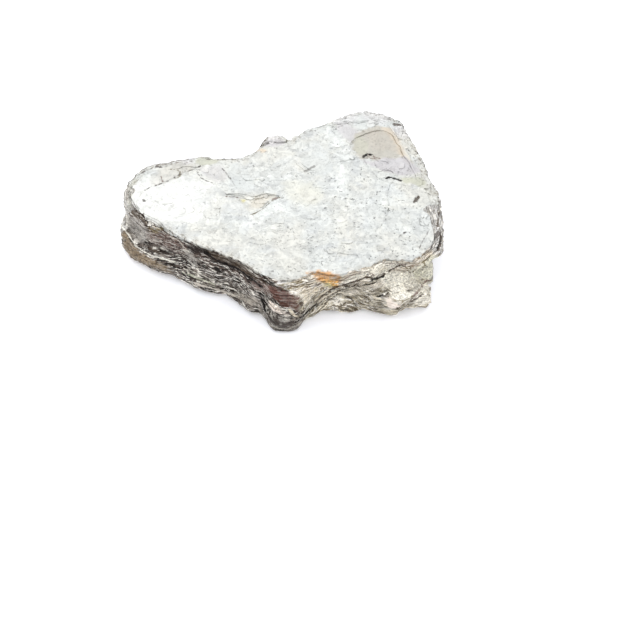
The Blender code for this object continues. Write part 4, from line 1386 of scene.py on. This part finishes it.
def strokes_group():
    """How far each place is covered by the nearest stroke."""
    tree, given, out = new_tree("Strokes", "ShaderNodeTree", {
        "Vector": (VECTOR, None), "Way": (VECTOR, None), "Look": (VECTOR, None), "Wander": (FLOAT, 0.3),
    }, {"Mask": FLOAT})
    shake = add(tree, "ShaderNodeTexNoise", {
        "Vector": given["Vector"], "Scale": 1 / (0.8 * MM), "Detail": 3.0, "Roughness": 0.6,
    })
    away = vector_math(tree, "SUBTRACT", shake.outputs["Color"], (0.5, 0.5, 0.5))
    away = scale_vector(tree, away, given["Wander"])
    parts = add(tree, "ShaderNodeSeparateXYZ", {0: given["Way"]}).outputs
    looks = add(tree, "ShaderNodeSeparateXYZ", {0: given["Look"]}).outputs
    flat = vector_math(tree, "MULTIPLY", vector_math(tree, "ADD", given["Way"], away), (1, 1, 0))
    grain = noise_node(tree, given["Vector"], 1 / (0.55 * MM), 3.0, 0.6)
    width = math_node(tree, "MULTIPLY", looks[0], smooth_range(tree, grain, 0.34, 0.60, 0.6, 1.6))
    far = math_node(tree, "DIVIDE", vector_math(tree, "LENGTH", flat), width)
    mask = smooth_range(tree, far, 0.6, 1.25, 1.0, 0.0)
    close = smooth_range(tree, math_node(tree, "SUBTRACT", parts[2], looks[0]), 0.35, 0.7, 1.0, 0.0)
    mask = math_node(tree, "MULTIPLY", math_node(tree, "MULTIPLY", mask, close), looks[1])
    dots = smooth_range(tree, noise_node(tree, given["Vector"], 1 / (0.7 * MM), 2.0, 0.5), 0.56, 0.44)
    mask = math_node(tree, "MULTIPLY", mask, math_node(
        tree, "SUBTRACT", 1.0, math_node(tree, "MULTIPLY", dots, looks[2])))
    tree.links.new(mask, out["Mask"])
    return tree


def group_node(tree, group, **inputs):
    return add(tree, "ShaderNodeGroup", {key.replace("_", " "): value for key, value in inputs.items()},
               node_tree=group)


def srgb(red, green, blue):
    """A colour given as on a screen, from 0 to 255, in linear light."""
    parts = [part / 255 for part in (red, green, blue)]
    return (*(part / 12.92 if part <= 0.04045 else ((part + 0.055) / 1.055) ** 2.4 for part in parts), 1.0)


STAIN_GRAIN = 1.1 * MM
GLOSS = 0.14  # the specular level of every finish
FINE_GRAIN = 0.35 * MM


def book_colours_group(groups):
    """The book's colour at each place, how much of it is side, and the height of its fine relief."""
    tree, given, out = new_tree("Book colours", "ShaderNodeTree", {
        "Vector": (VECTOR, None), "Bed": (FLOAT, 0.0), "Level": (FLOAT, 0.0), "Side": (FLOAT, 0.0),
        "Rim": (FLOAT, 0.0),
        "Dark": (FLOAT, 0.0), "Shale": (FLOAT, 0.0), "Crease": (FLOAT, 0.0), "Crumbled": (FLOAT, 0.0),
        "Stained": (FLOAT, 0.0), "Stain": (COLOUR, None),
    }, {"Colour": COLOUR, "Side": FLOAT, "Height": FLOAT})
    place = given["Vector"]
    grain = noise_node(tree, place, 1 / STAIN_GRAIN, 5.0, 0.68)
    fine_grain = noise_node(tree, place, 1 / FINE_GRAIN, 3.0, 0.6)
    parts = add(tree, "ShaderNodeSeparateXYZ", {0: place}).outputs

    def times(*values):
        total = values[0]
        for value in values[1:]:
            total = math_node(tree, "MULTIPLY", total, value)
        return total

    def less(value, share=1.0):
        return math_node(tree, "SUBTRACT", 1.0, times(value, share))

    def over(base, depth):
        """The stains over the base, which shows through by its depth."""
        lit = scale_vector(tree, given["Stain"], math_node(tree, "ADD", 1.0, depth))
        return vector_math(tree, "ADD", scale_vector(tree, base, less(given["Stained"])), lit)

    def streaks(thickness, length, contrast, waviness=1.0, level=given["Bed"]):
        return group_node(tree, groups["streaks"], Vector=place, Level=level,
                          Thickness=thickness * MM, Length=length * MM, Waviness=waviness * MM,
                          Contrast=contrast).outputs[0]

    # The look of the sides reaches over the rim, ragged as the leaves there are torn.
    torn = math_node(tree, "ADD", given["Side"], times(math_node(tree, "SUBTRACT", grain, 0.5), 0.8))
    side = smooth_range(tree, torn, 0.44, 0.56)

    # The cleavage face: silver white in torn leaves, faintly tinted, with grey specks and dashes, a painted
    # highlight at its left end, and painted shade in its relief and at its steps.
    broad = noise_node(tree, place, 1 / (8 * MM), 3.0, 0.5)
    tint = noise_node(tree, place, 1 / (4.5 * MM), 4.0, 0.6, 0.6)
    cloud = noise_node(tree, place, 1 / (2.2 * MM), 5.0, 0.66, 0.4)
    large = group_node(tree, groups["terraces"], Vector=place, Size=9 * MM, Levels=13.0, Line=0.07,
                       Ragged=0.58)
    small = group_node(tree, groups["terraces"], Vector=place, Size=2.6 * MM, Levels=9.0, Line=0.10,
                       Ragged=0.62)
    top = mix_colours(tree, smooth_range(tree, broad, 0.38, 0.62), srgb(214, 216, 212), srgb(216, 215, 207))
    top = mix_colours(tree, smooth_range(tree, tint, 0.52, 0.66, 0.0, 0.45), top, srgb(204, 207, 208))
    top = mix_colours(tree, smooth_range(tree, tint, 0.46, 0.34, 0.0, 0.5), top, srgb(210, 209, 200))
    # Painted highlight: the left end of the top is mixed towards a lighter colour, as the softbox's
    # reflection would light it, and calm weakens the shade, lines and creases there.
    painted_highlight = smooth_range(tree, parts[0], -9 * MM, -19 * MM)
    uneven_front = math_node(tree, "ADD", parts[1], times(grain, 3 * MM))
    painted_highlight = times(painted_highlight, smooth_range(tree, parts[1], 7 * MM, 3 * MM),
                   smooth_range(tree, uneven_front, -8 * MM, -4 * MM))
    top = mix_colours(tree, times(painted_highlight, 0.8), top, srgb(228, 228, 223))
    calm = less(painted_highlight, 0.45)
    top = over(top, times(math_node(tree, "SUBTRACT", cloud, 0.5), 0.5))
    # Painted shade, in part: the grey that the cloud mixes in stands for the shading of the crumpled relief
    # that the same cloud raises. The shade of the terraces is each torn leaf's own random tone.
    shade = math_node(tree, "ADD", times(large.outputs["Shade"], 0.20), times(small.outputs["Shade"], 0.22))
    shade = math_node(tree, "ADD", shade, smooth_range(tree, cloud, 0.48, 0.70, 0.0, 0.24))
    top = mix_colours(tree, times(shade, calm, less(given["Stained"], 0.7)), top, srgb(126, 128, 129))
    hair = group_node(tree, groups["cracks"], Vector=place, Size=3.6 * MM, Width=0.022, Wander=1.5,
                      Cover=0.36)
    near_right = smooth_range(tree, parts[0], -10 * MM, 26 * MM, 0.6, 1.0)
    speck = smooth_range(tree, noise_node(tree, place, 1 / (0.62 * MM), 2.0, 0.6), 0.575, 0.65)
    clusters = noise_node(tree, place, 1 / (3.0 * MM), 5.0, 0.72, 0.6)
    clusters = smooth_range(tree, clusters, 0.49, 0.59, 0.16, 1.0)
    specks = times(speck, clusters)
    dotted = smooth_range(tree, fine_grain, 0.49, 0.60)
    # The lines join real hairline cracks and grey specks with the painted shadow along the terraces' steps.
    lines = math_node(tree, "MAXIMUM", times(hair.outputs[0], dotted, 0.2),
                      times(large.outputs["Line"], dotted, 0.3))
    lines = math_node(tree, "MAXIMUM", lines, times(small.outputs["Line"], dotted, 0.5))
    lines = math_node(tree, "MAXIMUM", lines, times(specks, 0.9))
    lines = times(lines, calm, near_right, less(given["Stained"], 0.6))
    top = mix_colours(tree, lines, top, srgb(84, 84, 82))
    broken = smooth_range(tree, grain, 0.40, 0.56)
    # Painted shade: the colour is darkened in the crease at the foot of each step. The same mark darkens the
    # line along a step's upper edge and along the rim.
    creases = times(given["Crease"], broken, dotted, 0.5, calm, less(given["Stained"], 0.8),
                    less(given["Shale"], 0.8))
    top = mix_colours(tree, creases, top, srgb(66, 60, 54))

    at_rim = times(smooth_range(tree, given["Rim"], 2.8 * MM, 0.6 * MM),
                   smooth_range(tree, grain, 0.42, 0.56))
    leaf_ends = smooth_range(tree, streaks(0.24, 0.8, 1.0, 1.2, given["Rim"]), 0.47, 0.38)
    top = mix_colours(tree, times(at_rim, 0.25), top, srgb(166, 160, 146))
    top = mix_colours(tree, times(leaf_ends, at_rim, 0.7, less(given["Shale"], 0.4)), top, srgb(98, 86, 68))

    # The sides: streaks along the beds, dark at the front left, shale-like at the front right.
    def banded(low, high, first, last):
        """One colour under the low level and another over the high one."""
        return mix_colours(tree, smooth_range(tree, uneven, low * MM, high * MM), first, last)

    uneven = math_node(tree, "ADD", given["Level"], times(math_node(tree, "SUBTRACT", grain, 0.5), 2.4 * MM))
    wide = streaks(1.2, 6.0, 0.26)
    mid = streaks(0.30, 2.6, 0.36)
    thin = smooth_range(tree, streaks(0.20, 2.2, 1.0), 0.53, 0.46)
    fibre = smooth_range(tree, streaks(0.18, 1.9, 1.0), 0.545, 0.605)
    black = smooth_range(tree, streaks(0.30, 2.0, 1.0), 0.43, 0.37)
    both = math_node(tree, "ADD", times(wide, 0.55), times(mid, 0.45))
    pale = mix_colours(tree, both, srgb(190, 187, 182), srgb(238, 236, 233))
    shale = mix_colours(tree, both, banded(6.6, 8.4, srgb(166, 155, 132), srgb(232, 221, 199)),
                        banded(6.6, 8.4, srgb(240, 232, 212), srgb(250, 242, 228)))
    dark = mix_colours(tree, both, banded(6.4, 8.8, srgb(74, 64, 56), srgb(66, 52, 44)),
                       banded(6.4, 8.8, srgb(160, 151, 142), srgb(142, 122, 110)))
    foot = mix_colours(tree, both, srgb(132, 116, 92), srgb(222, 210, 186))
    dark = mix_colours(tree, smooth_range(tree, uneven, 1.2 * MM, 0.4 * MM), dark, foot)
    in_shale = smooth_range(tree, math_node(tree, "ADD", given["Shale"], grain), 0.85, 1.15)
    in_dark = smooth_range(tree, math_node(tree, "ADD", given["Dark"], grain), 0.9, 1.1)
    sides = mix_colours(tree, in_shale, pale, shale)
    sides = mix_colours(tree, in_dark, sides, dark)
    speckled = smooth_range(tree, fine_grain, 0.42, 0.58, -0.30, 0.16)
    sides = over(sides, math_node(tree, "ADD", times(math_node(tree, "SUBTRACT", both, 0.5), 0.2), speckled))
    quiet = less(given["Stained"], 0.86)
    warm = banded(6.6, 8.4, srgb(84, 73, 56), srgb(132, 106, 76))
    warm = mix_colours(tree, in_dark, warm, srgb(40, 33, 29))
    soft_line = mix_colours(tree, math_node(tree, "MAXIMUM", in_dark, in_shale), srgb(128, 124, 118), warm)
    sides = mix_colours(tree, times(thin, 0.85, quiet), sides, soft_line)
    sides = mix_colours(tree, times(fibre, quiet, 0.95), sides, srgb(246, 241, 231))
    dots = smooth_range(tree, noise_node(tree, place, 1 / (0.6 * MM), 3.0, 0.65), 0.56, 0.64)
    dot_colour = mix_colours(tree, in_dark, srgb(138, 130, 118), srgb(40, 32, 28))
    sides = mix_colours(tree, times(dots, 0.62), sides, dot_colour)
    edgy = smooth_range(tree, math_node(tree, "MAXIMUM", in_dark, in_shale), 0.0, 1.0, 0.35, 0.9)
    sides = mix_colours(tree, times(black, edgy, quiet, less(in_shale, 0.45)), sides, srgb(16, 12, 10))
    colour = mix_colours(tree, side, top, sides)
    mottle = smooth_range(tree, noise_node(tree, place, 1 / (0.9 * MM), 4.0, 0.7), 0.40, 0.60)
    crumbly = mix_colours(tree, mottle, srgb(186, 182, 183), srgb(224, 222, 221))
    colour = mix_colours(tree, times(given["Crumbled"], 0.5), colour, crumbly)
    tree.links.new(colour, out["Colour"])
    tree.links.new(side, out["Side"])

    relief = noise_node(tree, place, 1 / (0.45 * MM), 4.0, 0.65)
    flat = math_node(tree, "ADD", times(large.outputs["Height"], 0.03 * MM),
                     times(small.outputs["Height"], 0.025 * MM))
    flat = math_node(tree, "ADD", flat, times(cloud, 0.22 * MM))
    flat = math_node(tree, "SUBTRACT", flat, times(hair.outputs[0], 0.04 * MM))
    steep = math_node(tree, "SUBTRACT", times(both, 0.2 * MM), times(thin, 0.07 * MM))
    steep = math_node(tree, "ADD", steep, times(fibre, 0.05 * MM))
    height = add(tree, "ShaderNodeMix", {0: side, 2: flat, 3: steep}, data_type="FLOAT").outputs[0]
    tree.links.new(math_node(tree, "ADD", height, times(relief, 0.05 * MM)), out["Height"])
    return tree


def shader_groups():
    """The node groups that the materials share, made once."""
    if "Book colours" not in bpy.data.node_groups:
        book_colours_group({"streaks": sheet_streaks_group(), "cracks": cracks_group(),
                            "terraces": terraces_group()})
        strokes_group()
    return bpy.data.node_groups["Book colours"], bpy.data.node_groups["Strokes"]


def mica_finish(name, roughness, relief, lighter=0.0, toned=0.0, stroked=False):
    """A mica material of this roughness and relief.

    It can be lighter than the book, differ in tone from piece to piece, and be stroked.
    """
    made = bpy.data.materials.new(name)
    made.use_nodes = True
    tree = made.node_tree
    surface = tree.nodes["Principled BSDF"]
    colours, strokes = shader_groups()

    def attribute(label, output="Fac"):
        return add(tree, "ShaderNodeAttribute", attribute_name=label).outputs[output]

    place = add(tree, "ShaderNodeTexCoord").outputs["Object"]
    book = group_node(tree, colours, Vector=place, Stain=attribute("stain", "Color"),
                      **{label.title(): attribute(label) for label in MARKS})
    colour, height = book.outputs["Colour"], book.outputs["Height"]
    if lighter:
        colour = mix_colours(tree, lighter, colour, srgb(228, 225, 216))
    if toned:
        tone = smooth_range(tree, attribute("tone"), 0.0, 1.0, 1 - toned, 1 + 0.4 * toned)
        colour = scale_vector(tree, colour, tone)
    if stroked:
        mask = group_node(tree, strokes, Vector=place, Way=attribute("stroke", "Vector"),
                          Look=attribute("stroke_look", "Vector")).outputs[0]
        colour = mix_colours(tree, mask, colour, attribute("stroke_tone", "Color"))
        height = math_node(tree, "SUBTRACT", height, math_node(tree, "MULTIPLY", mask, 0.06 * MM))
    surface.inputs["Specular IOR Level"].default_value = GLOSS
    tree.links.new(colour, surface.inputs["Base Color"])
    rough = add(tree, "ShaderNodeMix", {0: book.outputs["Side"], 2: roughness, 3: 0.68}, data_type="FLOAT")
    tree.links.new(rough.outputs[0], surface.inputs["Roughness"])
    bump = add(tree, "ShaderNodeBump", {
        "Height": math_node(tree, "MULTIPLY", height, relief), "Distance": 1.0,
    })
    tree.links.new(bump.outputs[0], surface.inputs["Normal"])
    return made


# ---------------------------------------------------------------- operators

def settled(piece, crease_angle):
    """Shades the finished piece and fixes it to the stone."""
    piece.data.shade_smooth()
    piece.data.set_sharp_from_angle(angle=math.radians(crease_angle))
    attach(piece, "root")


def strewn_piece(context, name, tree, values):
    """A plain piece of what the tree strews over the book."""
    piece = bpy.data.objects.new(name, bpy.data.objects["mica_book"].data.copy())
    context.scene.collection.objects.link(piece)
    with_modifier(piece, tree, values)
    plain = made_plain(piece, name)
    if not plain.data.polygons:
        raise RuntimeError(f"{name} came out empty")
    settled(plain, 25)


class MICA_OT_book(bpy.types.Operator):
    """Make the mica book itself"""

    bl_idname = "mica.book"
    bl_label = "Mica Book"

    def execute(self, context):
        book = context.scene.mica_book
        shell = bpy.data.objects.new("shell", book_shell(book))
        context.scene.collection.objects.link(shell)
        with_modifier(shell, broken_edges_tree(), {
            "Chip Depth": book.chip_depth, "Crumple": book.crumple,
            "Material": mica_finish("silvery mica", 0.38, 1.0, stroked=True),
        })
        plain = made_plain(shell, "mica_book")
        settled(plain, 30)
        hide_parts(NODE)
        return {"FINISHED"}


class MICA_OT_leaves(bpy.types.Operator):
    """Splinter leaves out of the book's sides"""

    bl_idname = "mica.leaves"
    bl_label = "Edge Leaves"

    def execute(self, context):
        leaves = context.scene.mica_leaves
        strewn_piece(context, "edge_leaves", edge_leaves_tree(), {
            "Density": leaves.density, "Depth": leaves.depth, "Length": leaves.length,
            "Thickness": leaves.thickness, "Sunk": leaves.sunk, "Seed": leaves.seed,
            "Material": mica_finish("splintered mica", 0.5, 0.8, 0.12, 0.25),
        })
        return {"FINISHED"}


class MICA_OT_flakes(bpy.types.Operator):
    """Lay torn flakes on the cleavage face"""

    bl_idname = "mica.flakes"
    bl_label = "Torn Flakes"

    def execute(self, context):
        flakes = context.scene.mica_flakes
        strewn_piece(context, "torn_flakes", torn_flakes_tree(), {
            "Density": flakes.density, "Size": flakes.size, "Thickness": flakes.thickness,
            "Tilt": flakes.tilt, "Seed": flakes.seed,
            "Material": mica_finish("torn mica", 0.34, 0.7, 0.10, 0.16),
        })
        return {"FINISHED"}


class MICA_OT_crumbs(bpy.types.Operator):
    """Strew crumbs where the book has crumbled"""

    bl_idname = "mica.crumbs"
    bl_label = "Crumbs"

    def execute(self, context):
        crumbs = context.scene.mica_crumbs
        strewn_piece(context, "crumbs", crumbs_tree(), {
            "Density": crumbs.density, "Size": crumbs.size, "Seed": crumbs.seed,
            "Material": mica_finish("crumbled mica", 0.55, 0.8, 0.10, 0.3),
        })
        return {"FINISHED"}


class MICA_OT_stage(bpy.types.Operator):
    """Lay the floor, light it and set the camera"""

    bl_idname = "mica.stage"
    bl_label = "Stage"

    def execute(self, context):
        stage = context.scene.mica_stage
        half = stage.floor_size / 2
        mesh = bpy.data.meshes.new("floor")
        mesh.from_pydata([(-half, -half, 0), (half, -half, 0), (half, half, 0), (-half, half, 0)], [],
                         [(0, 1, 2, 3)])
        material = bpy.data.materials.new("floor")
        material.use_nodes = True
        paint = material.node_tree.nodes["Principled BSDF"].inputs
        paint["Base Color"].default_value = (*stage.floor_colour, 1.0)
        paint["Roughness"].default_value = 0.9
        paint["Specular IOR Level"].default_value = 0.1
        paint["Emission Color"].default_value = (1.0, 1.0, 1.0, 1.0)
        paint["Emission Strength"].default_value = stage.floor_glow
        mesh.materials.append(material)
        floor = bpy.data.objects.new("floor", mesh)
        context.scene.collection.objects.link(floor)

        world = bpy.data.worlds.new("studio")
        world.use_nodes = True
        world.node_tree.nodes["Background"].inputs["Color"].default_value = (0.97, 0.98, 1.0, 1.0)
        world.node_tree.nodes["Background"].inputs["Strength"].default_value = stage.sky
        context.scene.world = world
        context.scene.view_settings.view_transform = "Standard"

        lamp = bpy.data.lights.new("softbox", "AREA")
        lamp.shape = "RECTANGLE"
        lamp.size, lamp.size_y = LAMP_SIZE
        lamp.energy = LAMP_POWER
        box = bpy.data.objects.new("softbox", lamp)
        box.location = LAMP_SPOT
        box.rotation_euler = Vector(LAMP_SPOT).to_track_quat("Z", "Y").to_euler()
        context.scene.collection.objects.link(box)

        lens = bpy.data.cameras.new("camera")
        lens.lens = stage.lens
        lens.clip_start = 0.01
        camera = bpy.data.objects.new("camera", lens)
        camera.location = Vector(CAMERA_SPOT) * MM
        camera.rotation_euler = (math.pi / 2 - stage.pitch, 0, 0)
        context.scene.collection.objects.link(camera)
        context.scene.camera = camera
        return {"FINISHED"}


class MICA_PT_panel(bpy.types.Panel):
    """The steps that make the mica crystal"""

    bl_label = "Mica Crystal"
    bl_idname = "MICA_PT_panel"
    bl_space_type = "VIEW_3D"
    bl_region_type = "UI"
    bl_category = "Mica"

    def draw(self, context):
        for operator in OPERATORS:
            self.layout.operator(operator.bl_idname)
        for name in SETTINGS:
            settings = getattr(context.scene, name)
            box = self.layout.box()
            for field in settings.__annotations__:
                box.prop(settings, field)


SETTINGS = {
    "mica_book": BookSettings, "mica_leaves": LeavesSettings, "mica_flakes": FlakesSettings,
    "mica_crumbs": CrumbsSettings, "mica_stage": StageSettings,
}
OPERATORS = (MICA_OT_book, MICA_OT_leaves, MICA_OT_flakes, MICA_OT_crumbs, MICA_OT_stage)
CLASSES = (*SETTINGS.values(), *OPERATORS, MICA_PT_panel)


def register():
    for each in CLASSES:
        bpy.utils.register_class(each)
    for name, kind in SETTINGS.items():
        setattr(bpy.types.Scene, name, PointerProperty(type=kind))


def unregister():
    for name in SETTINGS:
        delattr(bpy.types.Scene, name)
    for each in reversed(CLASSES):
        bpy.utils.unregister_class(each)


def main():
    register()
    bpy.ops.mica.book()
    bpy.ops.mica.leaves()
    bpy.ops.mica.flakes()
    bpy.ops.mica.crumbs()
    bpy.ops.mica.stage()


if __name__ == "__main__":
    main()
